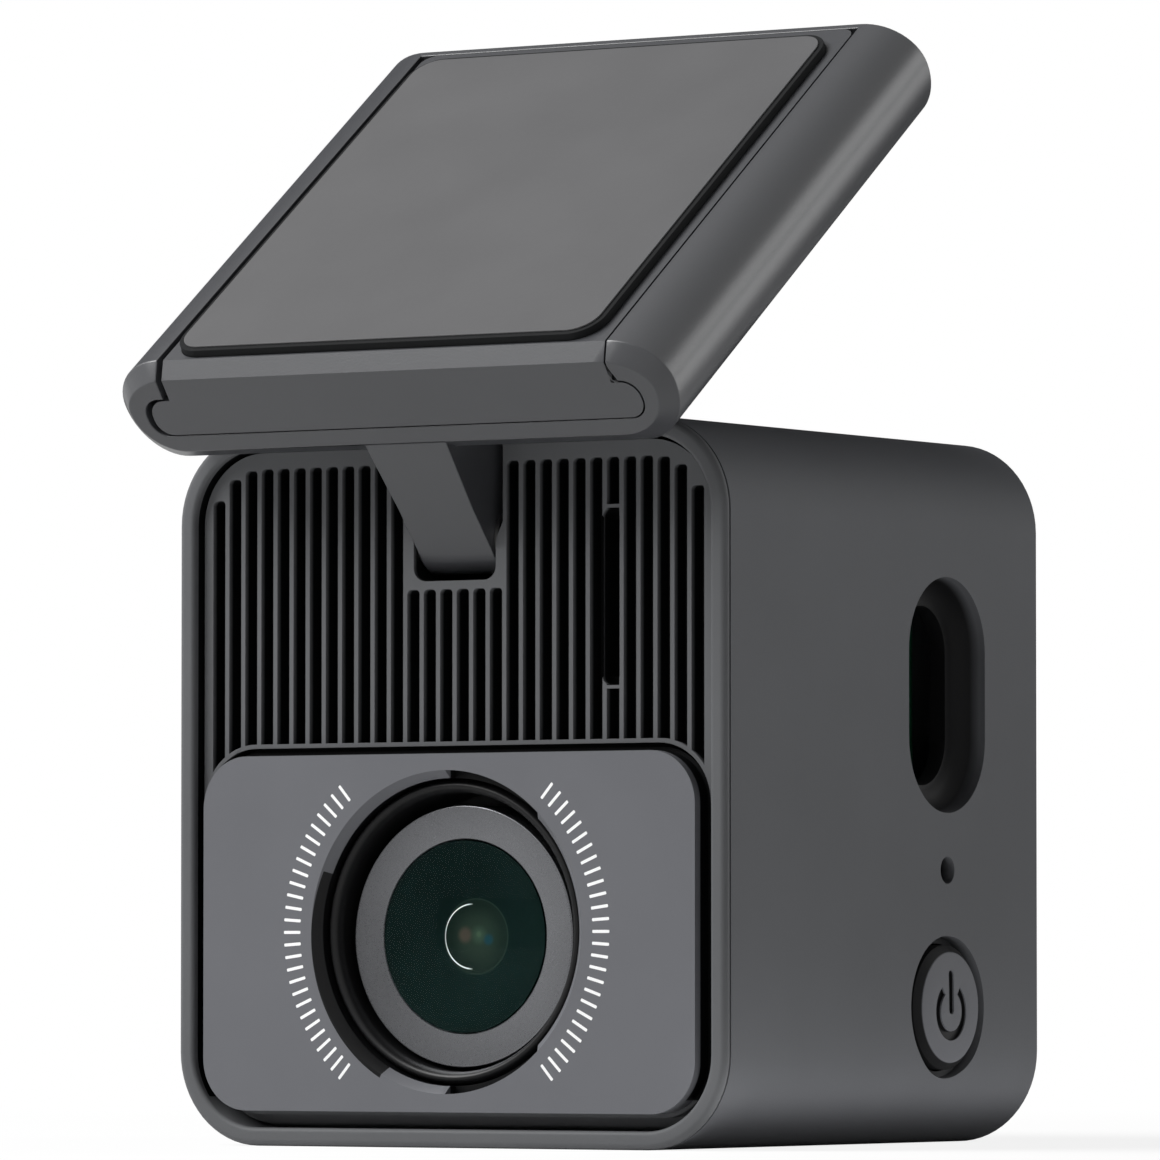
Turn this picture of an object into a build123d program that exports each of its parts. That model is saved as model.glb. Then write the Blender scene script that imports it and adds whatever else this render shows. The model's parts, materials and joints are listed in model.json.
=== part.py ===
from build123d import *
from math import cos, radians, sin, sqrt, tan
import os

os.makedirs("parts", exist_ok=True)

# A cube-shaped dash camera that stands on its flat bottom. The lens looks along -Y, the charging
# port and the power button are on the +X side, and a slide-on windscreen mount tilts above the
# front edge. Lengths are in millimetres. The origin is the centre of the body's bottom face.

# Body
body_width = 42.55
body_depth = 39.6
body_height = 47.0
corner_radius = 6.13
wall = 1.6

# Clearances
plug_gap = 0.05  # between pieces that plug into each other
cover_gap = 0.26  # round the ribbed cover
plate_gap = 0.52  # round the lens plate
barrel_gap = 0.5  # under the arm's barrel
rear_gap = 0.1  # round the rear cover
board_gap = 0.5  # between boards that cross
edge_search = 0.01  # either side of the place where edges are looked for

# Screws: one size throughout
screw_radius = 0.8
screw_length = 4.0
screw_head_radius = 1.5
screw_head_height = 0.7
recess_arm = 0.9  # of the cross in the head

# Front frame. Depths along Y are counted from the frame's front face.
rail_width = 1.2
band_depth = 0.52
parting_gap = 0.15
parting_inset = 0.35
lap = 0.6
shelf_width = 1.6
shelf_thickness = 1.0
edge_radius = 0.45
rail_round = 0.3  # on the rail's inner edge

# Ribbed cover
cover_face = 0.91
cover_thickness = 2.72
rib_pitch = 1.286
rib_width = 0.32
groove_depth = 1.15
groove_draft = 6
groove_round = 0.25  # at the corners of each groove's upper end
grooves_side_margin = 0.6  # least width left beside the outermost grooves
grooves_top_margin = 1.03
grooves_radius = 3.9
lip_margin = 0.8
boss_radius = 1.6

# Lens plate
plate_side_gap = 0.975  # between the front frame's rail and the plate
plate_low_gap = 1.11
plate_radius = 3.4
plate_proud = 0.2
plate_thickness = 1.6
plate_chamfer = 0.1
platform_margin = 0.25  # of the step that the plate stands on
channel_depth = 2.3
window_radius = 10.49
window_rim_low = 1.18  # plate left under the window
window_rim_high = 1.08
window_slope = 0.51  # width of the sloping edge round the window
slope_depth = 0.6
lead_turn = 43  # degrees that each twist-lock lead runs through the sloping edge
lead_depth = 1.2

# Lens shroud and lens
shroud_lip = 0.7  # depth of the shroud's rounded lip
lip_width = 0.88
lip_length = 0.9
shroud_depth = 6.2
flange_width = 0.96
rim_width = 0.37
lens_drop = 0.28
ring_gap = 0.53  # between the shroud's narrow end and the ring
ring_width = 2.22
ring_depth = 1.93
ring_length = 4.5
ring_lip = 1.0
ring_chamfer = 0.15
glass_drop = 0.1  # the glass's edge behind the ring's face
glass_bulge = 0.7
glass_thickness = 1.6
glass_hollow = 3.9
spacer_thickness = 1.42
pupil_radius = 2.47
pupil_depth = 3.85
pupil_sag = 0.5
inner_lens_length = 2.0
rear_glass_radius = 4.2
rear_glass_length = 3.0
ring_skirt = 0.92  # thickness of the ring round the barrel
collar_overlap = 0.85  # how far the collar reaches behind the shroud
collar_length = 1.75
thread_radius = 6.0
thread_length = 8.8
focus_gap = 0.22

# Boards and what stands on them
board_thickness = 1.2
board_side_gap = 1.775  # between the boards and the sleeve's sides
board_end_gap = 1.4  # between the main board and the sleeve's top and bottom
board_corner = 1.9
sensor_board_height = 21.5
sensor_size = 7.5
sensor_thickness = 0.9
holder_size = 15.0
holder_length = 8.0
holder_cavity = 2.4
filter_size = 9.0
filter_thickness = 0.3
header_width = 9.0
header_height = 2.5
header_gap = 1.4  # to the screw beside it
post_radius = 1.9
post_inset = 2.5  # of the sensor board's screws from its edges
main_post_inset = 3.5  # of the main board's screws from its ends
main_post_x = 8.0

# Charging port on the +X side
port_from_rear = 11.8
port_height = 29.7
recess_width = 9.87
recess_length = 15.6
recess_floor = 2.0
recess_inset = 1.85
recess_cove = 1.6
recess_wall = 1.2
port_setback = 4.375  # the port's mouth from the body's side
shell_width = 8.94
shell_thickness = 3.26
shell_length = 7.35
shell_sheet = 0.3
tongue_width = 6.7
tongue_thickness = 0.7
tongue_length = 4.6
tongue_setback = 1.0

# Microphone hole and power button, in line below the port
mic_drop = 3.78  # under the recess
mic_hole_radius = 0.9
mic_radius = 1.4
mic_length = 1.5
button_height = 9.06
button_radius = 4.12
button_gap = 0.1
button_rim = 0.5
button_rim_depth = 0.45
button_rim_draft = 30
button_proud = 0.3
button_bevel = 0.5
button_dome = 0.1
button_flange = 0.45
flange_thickness = 0.9
button_travel = 0.35
stem_radius = 1.6
stem_length = 3.975  # in from the body's side
switch_length = 3.5
switch_width = 6.0
switch_setback = 5.275
plunger_radius = 1.25
plunger_in_switch = 0.9

# Memory card slot and its upright board
card_rib = 9  # the rib, counted from the middle, that the slot interrupts
card_width = 11.0
card_play = 0.42
card_slot_width = 1.33
card_slot_drop = 5.78  # from the body's top
card_bridge = 0.22
card_socket_depth = 14.5
card_socket_thickness = 1.4
card_gap = 0.9
card_socket_margin = 1.5
card_board_margin = 0.6
card_board_overhang = 2.0
card_board_port_gap = 1.84  # from the port's shell up to the tail that plugs into the main board
card_board_thickness = 1.0

# Rear cover
rear_thickness = 1.5
rear_boss_length = 4.5
rear_boss_radius = 2.0
speaker_radius = 7.5
speaker_length = 3.6
speaker_height = 30.0
speaker_wall = 1.6
vent_count = 5
vent_width = 1.0
vent_pitch = 2.0
capacitor_radius = 3.1
capacitor_length = 12.0
capacitor_x = 11.6
capacitor_height = 15.0
chip_size = 11.0
chip_thickness = 1.2
chip_height = 15.5
pad_thickness = 0.6
spreader_thickness = 1.0
spreader_margin = 1.5

# Hinge
pivot_depth = 3.1
pivot_drop = 7.5  # from the body's top
hinge_radius = 2.2
pin_radius = 0.6
pin_fit = 0.03
arm_draft = 4  # degrees that each side of the arm leans out above the pivot
washer_radius = 1.9
washer_thickness = 0.27
washer_gap = 0.03
ear_radius = 1.45
ear_thickness = 0.75
bracket_plate_depth = 7.4
bracket_thickness = 0.8
bracket_width = 18.0
bracket_height = 6.4
bracket_screw_x = 6.9
notch_width = 6.4
notch_sill = 0.53  # between the notch and the short grooves under it
shoulder_drop = 0.14  # of the notch's shoulders under the pivot
notch_shoulder_rise = 1.2
notch_shoulder_out = 0.55
notch_corner = 0.9
notch_depth = 7.6
notch_frame = 0.84  # plain margin beside the notch

# Mount head: a carrier with the arm moulded on, and a plate that slides into it
tilt = 36.1
head_front = -4.38  # depth of the head's lower front edge
head_rise = 5.16  # of that edge above the pivot
head_overhang = 0.075  # past the body's sides
head_length = 39.96
head_thickness = 7.46
upper_round_width = 3.95
upper_round_height = 3.36
lower_round_width = 3.55
front_chamfer = 0.96
rear_rim = 0.76
arm_root = 5.8
arm_sink = 1.4
neck_inset = 4.25  # of the slide plate's neck from the head's sides
edge_inset = 2.45
slide_bottom = 2.27
slide_top = 4.9
slide_round = 1.2
slide_play = 0.1  # under, over and behind the plate
slide_side_gap = 0.3
slide_shift = 0.2  # how far the plate rests to one side of its channel
slide_corner = 1.0
film_side = 1.05  # from the neck's sides
film_front = 1.5
film_rear = 2.5
film_corner = 1.75
foam_margin = 0.35  # of the foam round the film
pocket_depth = 0.5
foam_proud = 0.5
film_thickness = 0.12

# Values that follow from the ones above: front
side_x = body_width / 2
cover_back = cover_face + cover_thickness
skirt_end = cover_back + shelf_thickness
sleeve_front = band_depth + parting_gap
plate_bottom = rail_width + plate_low_gap
plate_width = body_width - 2 * (rail_width + plate_side_gap)
plate_height = 2 * window_radius + window_rim_low + window_rim_high
plate_top = plate_bottom + plate_height
plate_seat = plate_thickness - plate_proud
plate_bore = window_radius - window_slope
window_height = plate_bottom + window_rim_low + window_radius
groove_width = rib_pitch - rib_width
grooves_room = side_x - rail_width - cover_gap - grooves_side_margin + rib_width / 2
grooves_each_side = int(grooves_room / rib_pitch)
grooves_half_width = rib_pitch * grooves_each_side - rib_width / 2
grooves_top = body_height - rail_width - cover_gap - grooves_top_margin

# Lens, from the window inwards
shroud_mouth = plate_bore - plug_gap
shroud_end = shroud_mouth - lip_width
shroud_rim = shroud_mouth + rim_width
shroud_flange = shroud_mouth + flange_width
lens_height = window_height - lens_drop
ring_radius = shroud_end - ring_gap
ring_bore = ring_radius - ring_width
glass_radius = ring_bore - plug_gap
glass_depth = ring_depth + glass_drop
glass_back = glass_depth + glass_thickness
hollow_depth = glass_depth + glass_bulge / 2
spacer_end = glass_back + spacer_thickness
barrel_radius = ring_radius - ring_skirt
barrel_front = ring_depth + ring_lip
collar_radius = shroud_end + collar_overlap
collar_depth = ring_depth + ring_length
thread_start = collar_depth + collar_length
barrel_end = thread_start + thread_length

# Boards, port, button and card
port_depth = body_depth - port_from_rear
port_y = port_depth - body_depth / 2
port_mouth = side_x - port_setback
mic_height = port_height - recess_length / 2 - mic_drop
stem_end = side_x - stem_length
switch_face = side_x - switch_setback
sensor_board_depth = barrel_end + focus_gap + holder_cavity
main_board_depth = port_depth + shell_thickness / 2
back_of_main_board = main_board_depth + board_thickness
board_width = body_width - 2 * (wall + board_side_gap)
main_board_height = body_height - 2 * (wall + board_end_gap)
rear_cover_depth = body_depth - rear_thickness
card_slot_length = card_width + card_play
card_height = body_height - card_slot_drop - card_slot_length / 2
card_x = card_rib * rib_pitch + groove_width / 2
card_board_front = cover_back + card_board_margin
card_board_top = card_height + card_width / 2 + card_board_overhang
card_board_tail = card_board_top - port_height - shell_width / 2 - card_board_port_gap

# Hinge and mount head
pivot_height = body_height - pivot_drop
pivot_y = pivot_depth - body_depth / 2
notch_half_width = notch_width / 2
notch_wide = notch_half_width + notch_shoulder_out  # from the shoulders up
ear_outside = notch_half_width + ear_thickness
barrel_half_width = notch_half_width - washer_thickness - 2 * washer_gap
notch_bottom = pivot_height - hinge_radius - barrel_gap
notch_shoulder = pivot_height - shoulder_drop
head_height = pivot_height + head_rise
head_width = body_width + 2 * head_overhang
neck_width = head_width - 2 * neck_inset
slide_width = head_width - 2 * edge_inset
film_width = neck_width - 2 * film_side
film_length = head_length - film_front - film_rear
arm_straight = pivot_height + washer_radius
pivot_from_head = Vector(0, pivot_depth - head_front, pivot_height - head_height)

# Grooves of the cover, as (x, top) spots: the outer ones end lower, along the cover's corners
groove_spots = []
for groove in range(-grooves_each_side, grooves_each_side):
    groove_x = (groove + 0.5) * rib_pitch
    past_corner = max(0, abs(groove_x) - grooves_half_width + grooves_radius)
    groove_spots.append((groove_x, grooves_top - grooves_radius + sqrt(grooves_radius**2 - past_corner**2)))

# Where screws stand, as (x, z) spots
rear_screw_inset = corner_radius - rear_boss_radius
rear_screw_x = side_x - rear_screw_inset
rear_screw_spots = [
    (x, z)
    for x in (-rear_screw_x, rear_screw_x)
    for z in (rear_screw_inset, body_height - rear_screw_inset)
]
main_post_rise = main_board_height / 2 - main_post_inset
main_screw_spots = [
    (x, body_height / 2 + rise)
    for x in (-main_post_x, main_post_x)
    for rise in (-main_post_rise, main_post_rise)
]
sensor_post_x = board_width / 2 - post_inset
header_x = header_gap + screw_head_radius + header_width / 2 - sensor_post_x
sensor_post_rise = sensor_board_height / 2 - post_inset
sensor_screw_spots = [
    (x, lens_height + rise)
    for x in (-sensor_post_x, sensor_post_x)
    for rise in (-sensor_post_rise, sensor_post_rise)
]
bracket_screw_spots = [(-bracket_screw_x, pivot_height), (bracket_screw_x, pivot_height)]

# Working planes: the front face seen from the front, and the +X side seen from outside
front = Plane(origin=(0, -body_depth / 2, 0), x_dir=(1, 0, 0), z_dir=(0, -1, 0))
side = Plane(origin=(side_x, port_y, 0), x_dir=(0, 1, 0), z_dir=(1, 0, 0))

window_axis = Axis((0, 0, window_height), (0, 1, 0))
window_section = Plane(origin=(0, -body_depth / 2, window_height), x_dir=(1, 0, 0), z_dir=(0, 0, 1))
lens_axis = Axis((0, 0, lens_height), (0, 1, 0))
lens_section = window_section.offset(lens_height - window_height)

# The mount head has its own axes: along runs up its length and out stands on its top
along = Vector(0, cos(radians(tilt)), sin(radians(tilt)))
out = Vector(0, -sin(radians(tilt)), cos(radians(tilt)))
head_corner = Vector(0, head_front - body_depth / 2, head_height)
head_end = Plane(origin=head_corner, x_dir=(1, 0, 0), z_dir=-along)
head_side = Plane(origin=head_corner, x_dir=along, z_dir=(1, 0, 0))
head_top = Plane(origin=head_corner + out * head_thickness, x_dir=(1, 0, 0), z_dir=out)
pivot_along = pivot_from_head.dot(along)
pivot_out = pivot_from_head.dot(out)


def at_depth(depth):
    """The plane parallel to the front face at a depth behind it."""
    return front.offset(-depth)


def body_outline(inset, mode=Mode.ADD):
    """The body's rounded outline, drawn in by an inset, in a sketch seen from the front."""
    with Locations((0, body_height / 2)):
        RectangleRounded(
            body_width - 2 * inset, body_height - 2 * inset, corner_radius - inset, mode=mode
        )


def plate_outline(margin, mode=Mode.ADD):
    """The lens plate's rounded outline, grown by a margin."""
    with Locations((0, plate_bottom + plate_height / 2)):
        RectangleRounded(
            plate_width + 2 * margin, plate_height + 2 * margin, plate_radius + margin, mode=mode
        )


def film_outline(margin):
    """The pad film's rounded outline, grown by a margin, in a sketch on the mount head."""
    with Locations((0, film_front + film_length / 2)):
        RectangleRounded(film_width + 2 * margin, film_length + 2 * margin, film_corner + margin)


def screw(head_taper):
    """A small screw with its head's outer face at the origin and its shank along -Z."""
    with BuildPart() as shape:
        with BuildSketch():
            Circle(screw_head_radius)
        extrude(amount=-screw_head_height, taper=head_taper)
        with BuildSketch():
            Circle(screw_radius)
        extrude(amount=-screw_length)
        with BuildSketch():
            Rectangle(2 * recess_arm, recess_arm / 2)
            Rectangle(recess_arm / 2, 2 * recess_arm)
        extrude(amount=-screw_head_height / 2, mode=Mode.SUBTRACT)
    return shape.part


def save(builder, name):
    """Label a finished piece and write it under that name."""
    builder.part.label = name
    export_step(builder.part, f"parts/{name}.step")


def rear_facing(x, z, depth):
    """A place on a plane that faces the rear."""
    return Plane(origin=(x, depth - body_depth / 2, z), x_dir=(-1, 0, 0), z_dir=(0, 1, 0))


def front_facing(x, z, depth):
    """A place on a plane that faces the front."""
    return Plane(origin=(x, depth - body_depth / 2, z), x_dir=(1, 0, 0), z_dir=(0, -1, 0))


# Housing sleeve: the outer shell, open at the front and the rear
with BuildPart() as housing_sleeve:
    with BuildSketch(at_depth(sleeve_front)):
        body_outline(0)
        body_outline(wall, Mode.SUBTRACT)
    extrude(amount=-(body_depth - sleeve_front))
    # Rebate that the front frame's skirt plugs into
    with BuildSketch(at_depth(sleeve_front)):
        body_outline(lap)
    extrude(amount=-(skirt_end + plug_gap - sleeve_front), mode=Mode.SUBTRACT)
    # Corner bosses for the rear cover's screws
    with BuildSketch(at_depth(rear_cover_depth)):
        with Locations(*rear_screw_spots):
            Circle(rear_boss_radius)
    extrude(amount=rear_boss_length)
    with BuildSketch(at_depth(rear_cover_depth)):
        with Locations(*rear_screw_spots):
            Circle(screw_radius + plug_gap)
    extrude(amount=rear_boss_length, mode=Mode.SUBTRACT)
    # Thickened wall behind the charging recess
    with BuildSketch(side.offset(-wall)):
        with Locations((0, port_height)):
            SlotOverall(recess_length + 2 * recess_wall, recess_width + 2 * recess_wall, rotation=90)
    extrude(amount=-(recess_floor + recess_wall - wall))
    # Charging recess: a coved stadium with a smaller opening through its floor
    with BuildSketch(side):
        with Locations((0, port_height)):
            SlotOverall(recess_length, recess_width, rotation=90)
    extrude(amount=-recess_floor, mode=Mode.SUBTRACT)
    recess_edges = housing_sleeve.edges().filter_by_position(
        Axis.X, side_x - recess_floor - edge_search, side_x - recess_floor + edge_search
    )
    fillet(recess_edges, recess_cove)
    with BuildSketch(side):
        with Locations((0, port_height)):
            SlotOverall(recess_length - 2 * recess_inset, recess_width - 2 * recess_inset, rotation=90)
    extrude(amount=-2 * (recess_floor + recess_wall), mode=Mode.SUBTRACT)
    # Microphone hole, and the power button's hole with a shallow rim round it
    with BuildSketch(side):
        with Locations((0, mic_height)):
            Circle(mic_hole_radius)
        with Locations((0, button_height)):
            Circle(button_radius + button_gap)
    extrude(amount=-2 * wall, mode=Mode.SUBTRACT)
    with BuildSketch(side):
        with Locations((0, button_height)):
            Circle(button_radius + button_gap + button_rim)
    extrude(amount=-button_rim_depth, taper=button_rim_draft, mode=Mode.SUBTRACT)
    # Pocket for the button's flange, which the rounded corner would foul
    with BuildSketch(side.offset(-wall)):
        with Locations((0, button_height)):
            Circle(button_radius + button_flange + button_gap)
    extrude(amount=-(plug_gap + flange_thickness + button_travel), mode=Mode.SUBTRACT)
    # Notch through the top wall that the mount's arm swings in
    with BuildSketch(Plane.XY.offset(body_height)):
        with Locations((0, (notch_depth - body_depth) / 2)):
            RectangleRounded(2 * notch_wide, notch_depth, notch_corner)
        with Locations((0, -body_depth / 2 + notch_depth / 4)):
            Rectangle(2 * notch_wide, notch_depth / 2)
    extrude(amount=-2 * wall, mode=Mode.SUBTRACT)
save(housing_sleeve, "housing_sleeve")

# Front frame: a thin rail, a parting groove and a skirt with a shelf for the cover
with BuildPart() as front_frame:
    with BuildSketch(front):
        body_outline(0)
    extrude(amount=-band_depth)
    fillet(front_frame.faces().sort_by(Axis.Y)[0].edges(), edge_radius)
    with BuildSketch(at_depth(band_depth)):
        body_outline(parting_inset)
    extrude(amount=-parting_gap)
    with BuildSketch(at_depth(sleeve_front)):
        body_outline(lap + plug_gap)
    extrude(amount=-(skirt_end - sleeve_front))
    with BuildSketch(front):
        body_outline(rail_width)
    extrude(amount=-cover_back, mode=Mode.SUBTRACT)
    fillet(front_frame.faces().sort_by(Axis.Y)[0].inner_wires()[0].edges(), rail_round)
    with BuildSketch(front):
        body_outline(rail_width + shelf_width)
    extrude(amount=-skirt_end, mode=Mode.SUBTRACT)
    with BuildSketch(Plane.XY.offset(body_height)):
        with Locations((0, -body_depth / 2)):
            Rectangle(2 * notch_wide, 2 * notch_depth)
    extrude(amount=-(body_height - pivot_height), mode=Mode.SUBTRACT)
save(front_frame, "front_frame")

# Outline of the hinge notch in the ribbed cover: narrow round the barrel, wider above it
with BuildSketch(mode=Mode.PRIVATE) as notch_outline:
    with BuildLine():
        Polyline(
            (0, notch_bottom),
            (notch_half_width, notch_bottom),
            (notch_half_width, notch_shoulder),
            (notch_wide, notch_shoulder + notch_shoulder_rise),
            (notch_wide, body_height),
            (0, body_height),
        )
        mirror(about=Plane.YZ)
    make_face()
    fillet(notch_outline.vertices().group_by(Axis.Y)[0], notch_corner)

# Ribbed cover: upright grooves whose ends follow the cover's and the lens plate's outlines
with BuildPart() as ribbed_cover:
    with BuildSketch(at_depth(cover_face)):
        body_outline(rail_width + cover_gap)
    extrude(amount=-cover_thickness)
    # Channel and platform of the lens plate
    with BuildSketch(at_depth(cover_face)):
        with Locations((0, plate_top / 2 - plate_radius)):
            Rectangle(body_width, plate_top)
        plate_outline(plate_gap)
    extrude(amount=-(channel_depth - cover_face), mode=Mode.SUBTRACT)
    with BuildSketch(at_depth(plate_seat)):
        plate_outline(platform_margin)
    extrude(amount=-(cover_back - plate_seat))
    # Grooves
    with BuildSketch(at_depth(cover_face)):
        for groove_x, groove_top in groove_spots:
            with Locations((groove_x, groove_top / 2)):
                RectangleRounded(groove_width, groove_top, groove_round)
        plate_outline(lip_margin, Mode.SUBTRACT)
        with Locations((0, plate_top / 2 - plate_radius)):
            Rectangle(body_width, plate_top, mode=Mode.SUBTRACT)
        with Locations((0, notch_bottom - notch_sill + body_height / 2)):
            Rectangle(2 * (notch_half_width + notch_frame), body_height, mode=Mode.SUBTRACT)
        with Locations((card_x + rib_width / 2, card_height)):
            with GridLocations(0, card_slot_length + card_bridge, 1, 2):
                Rectangle(card_slot_width, card_bridge, mode=Mode.SUBTRACT)
    extrude(amount=-groove_depth, taper=groove_draft, mode=Mode.SUBTRACT)
    # Memory card slot
    with BuildSketch(at_depth(cover_face)):
        with Locations((card_x, card_height)):
            SlotOverall(card_slot_length, card_slot_width, rotation=90)
    extrude(amount=-cover_thickness, mode=Mode.SUBTRACT)
    # Hinge notch, and pockets behind it for the bracket's ears
    with BuildSketch(at_depth(cover_face)):
        add(notch_outline.sketch)
    extrude(amount=-cover_thickness, mode=Mode.SUBTRACT)
    with BuildSketch(at_depth(cover_back)):
        with Locations((0, pivot_height)):
            Rectangle(2 * (ear_outside + plug_gap), 2 * (ear_radius + plug_gap))
    ear_pocket = cover_back - (pivot_depth - ear_radius - plug_gap)
    extrude(amount=ear_pocket, mode=Mode.SUBTRACT)
    # Bosses for the hinge bracket, posts for the sensor board
    with BuildSketch(at_depth(cover_back)):
        with Locations(*bracket_screw_spots):
            Circle(boss_radius)
            Circle(screw_radius + plug_gap, mode=Mode.SUBTRACT)
    extrude(amount=-(bracket_plate_depth - cover_back))
    with BuildSketch(at_depth(cover_back)):
        with Locations(*sensor_screw_spots):
            Circle(post_radius)
            Circle(screw_radius + plug_gap, mode=Mode.SUBTRACT)
    extrude(amount=-(sensor_board_depth - cover_back))
    # Window for the lens shroud
    with BuildSketch(at_depth(cover_face)):
        with Locations((0, window_height)):
            Circle(window_radius)
    extrude(amount=-2 * cover_thickness, mode=Mode.SUBTRACT)
save(ribbed_cover, "ribbed_cover")

# Lens plate: a sloping edge round the window, cut through by two twist-lock leads
with BuildPart() as lens_plate:
    with BuildSketch(at_depth(-plate_proud)):
        plate_outline(0)
        with Locations((0, window_height)):
            Circle(plate_bore, mode=Mode.SUBTRACT)
    extrude(amount=-plate_thickness)
    plate_front = lens_plate.faces().sort_by(Axis.Y)[0]
    chamfer(plate_front.outer_wire().edges(), plate_chamfer)
    plate_front = lens_plate.faces().sort_by(Axis.Y)[0]
    chamfer(plate_front.inner_wires()[0].edges(), slope_depth, window_slope, reference=plate_front)
    with BuildSketch(at_depth(-plate_proud)):
        with Locations((0, window_height)):
            with BuildLine():
                turn = radians(lead_turn)
                lead_start = Vector(0, window_radius)
                lead_end = Vector(sin(turn), cos(turn)) * window_radius
                lead_middle = Vector(sin(turn / 2), cos(turn / 2)) * window_radius
                ThreePointArc(lead_start, lead_middle, lead_end)
                Polyline(lead_end, (0, 0), lead_start)
            make_face()
            mirror(about=Plane.XZ)
    extrude(amount=-lead_depth, mode=Mode.SUBTRACT)
save(lens_plate, "lens_plate")


def dome_radius(half_width, rise):
    """Radius of the arc that rises by that much from its rim to the middle."""
    return (half_width**2 + rise**2) / (2 * rise)


# Lens shroud: a rounded lip inside the plate's bore, and the well down to the lens
with BuildPart() as lens_shroud:
    with BuildSketch(window_section):
        with BuildLine():
            lip_middle = (shroud_mouth - lip_width / 2, shroud_lip + lip_length)
            EllipticalCenterArc(lip_middle, lip_width / 2, lip_length, 180, arc_size=90)
            EllipticalCenterArc(lip_middle, lip_width / 2, lip_length, 270, arc_size=90)
            Polyline(
                (shroud_mouth, shroud_lip + lip_length),
                (shroud_mouth, cover_back),
                (shroud_flange, cover_back),
                (shroud_flange, skirt_end),
                (shroud_rim, skirt_end),
                (shroud_rim, shroud_depth),
                (shroud_end, shroud_depth),
                (shroud_end, shroud_lip + lip_length),
            )
        make_face()
    revolve(axis=window_axis)
save(lens_shroud, "lens_shroud")

# Lens ring: the flat retaining ring round the front glass
with BuildPart() as lens_ring:
    with BuildSketch(lens_section):
        Polygon(
            (ring_bore, ring_depth),
            (ring_radius, ring_depth),
            (ring_radius, collar_depth),
            (barrel_radius + plug_gap, collar_depth),
            (barrel_radius + plug_gap, barrel_front - plug_gap),
            (ring_bore, barrel_front - plug_gap),
            align=None,
        )
    revolve(axis=lens_axis)
    front_edges = lens_ring.faces().sort_by(Axis.Y)[0].edges()
    chamfer(front_edges.sort_by(SortBy.RADIUS)[-1], ring_chamfer)
save(lens_ring, "lens_ring")

# Lens barrel: the collar that the ring seats on, the glass seat and the focusing thread
with BuildPart() as lens_barrel:
    with BuildSketch(lens_section):
        Polygon(
            (ring_bore, barrel_front),
            (barrel_radius, barrel_front),
            (barrel_radius, collar_depth),
            (collar_radius, collar_depth),
            (collar_radius, thread_start),
            (thread_radius, thread_start),
            (thread_radius, barrel_end),
            (rear_glass_radius + plug_gap, barrel_end),
            (rear_glass_radius + plug_gap, barrel_end - rear_glass_length),
            (pupil_radius, barrel_end - rear_glass_length),
            (pupil_radius, spacer_end),
            (ring_bore, spacer_end),
            align=None,
        )
    revolve(axis=lens_axis)
save(lens_barrel, "lens_barrel")

# Front lens: a shallow dome outside, hollow behind
with BuildPart() as front_lens:
    with BuildSketch(lens_section):
        with BuildLine():
            Line((0, glass_depth - glass_bulge), (0, hollow_depth))
            hollow_rise = glass_back - hollow_depth
            RadiusArc((0, hollow_depth), (glass_hollow, glass_back), -dome_radius(glass_hollow, hollow_rise))
            Polyline((glass_hollow, glass_back), (glass_radius, glass_back), (glass_radius, glass_depth))
            RadiusArc(
                (glass_radius, glass_depth), (0, glass_depth - glass_bulge),
                dome_radius(glass_radius, glass_bulge),
            )
        make_face()
    revolve(axis=lens_axis)
save(front_lens, "front_lens")

# Lens spacer: black washer behind the front lens, whose bore is the small inner circle
with BuildPart() as lens_spacer:
    with BuildSketch(lens_section):
        Polygon(
            (glass_hollow, glass_back),
            (glass_radius, glass_back),
            (glass_radius, spacer_end),
            (pupil_radius, spacer_end),
            (pupil_radius, pupil_depth),
            align=None,
        )
    revolve(axis=lens_axis)
save(lens_spacer, "lens_spacer")

# Inner lens, which shows through the spacer's bore
with BuildPart() as inner_lens:
    with BuildSketch(lens_section):
        with BuildLine():
            inner_radius = pupil_radius - plug_gap
            RadiusArc(
                (0, pupil_depth), (inner_radius, pupil_depth + pupil_sag),
                -dome_radius(inner_radius, pupil_sag),
            )
            Polyline(
                (inner_radius, pupil_depth + pupil_sag),
                (inner_radius, pupil_depth + inner_lens_length),
                (0, pupil_depth + inner_lens_length),
                (0, pupil_depth),
            )
        make_face()
    revolve(axis=lens_axis)
save(inner_lens, "inner_lens")

# Rear lens at the sensor end of the barrel
with BuildPart() as rear_lens:
    with BuildSketch(lens_section):
        with BuildLine():
            Polyline(
                (0, barrel_end - rear_glass_length),
                (rear_glass_radius, barrel_end - rear_glass_length),
                (rear_glass_radius, barrel_end - pupil_sag),
            )
            RadiusArc(
                (rear_glass_radius, barrel_end - pupil_sag), (0, barrel_end),
                -dome_radius(rear_glass_radius, pupil_sag),
            )
            Line((0, barrel_end), (0, barrel_end - rear_glass_length))
        make_face()
    revolve(axis=lens_axis)
save(rear_lens, "rear_lens")

# Lens holder: the threaded block on the sensor board
with BuildPart() as lens_holder:
    with BuildSketch(at_depth(sensor_board_depth)):
        with Locations((0, lens_height)):
            RectangleRounded(holder_size, holder_size, 1)
    extrude(amount=holder_length)
    with BuildSketch(at_depth(sensor_board_depth)):
        with Locations((0, lens_height)):
            Circle(thread_radius + plug_gap)
    extrude(amount=holder_length, mode=Mode.SUBTRACT)
    with BuildSketch(at_depth(sensor_board_depth)):
        with Locations((0, lens_height)):
            Rectangle(filter_size + 2 * plug_gap, filter_size + 2 * plug_gap)
    extrude(amount=holder_cavity, mode=Mode.SUBTRACT)
save(lens_holder, "lens_holder")

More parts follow.
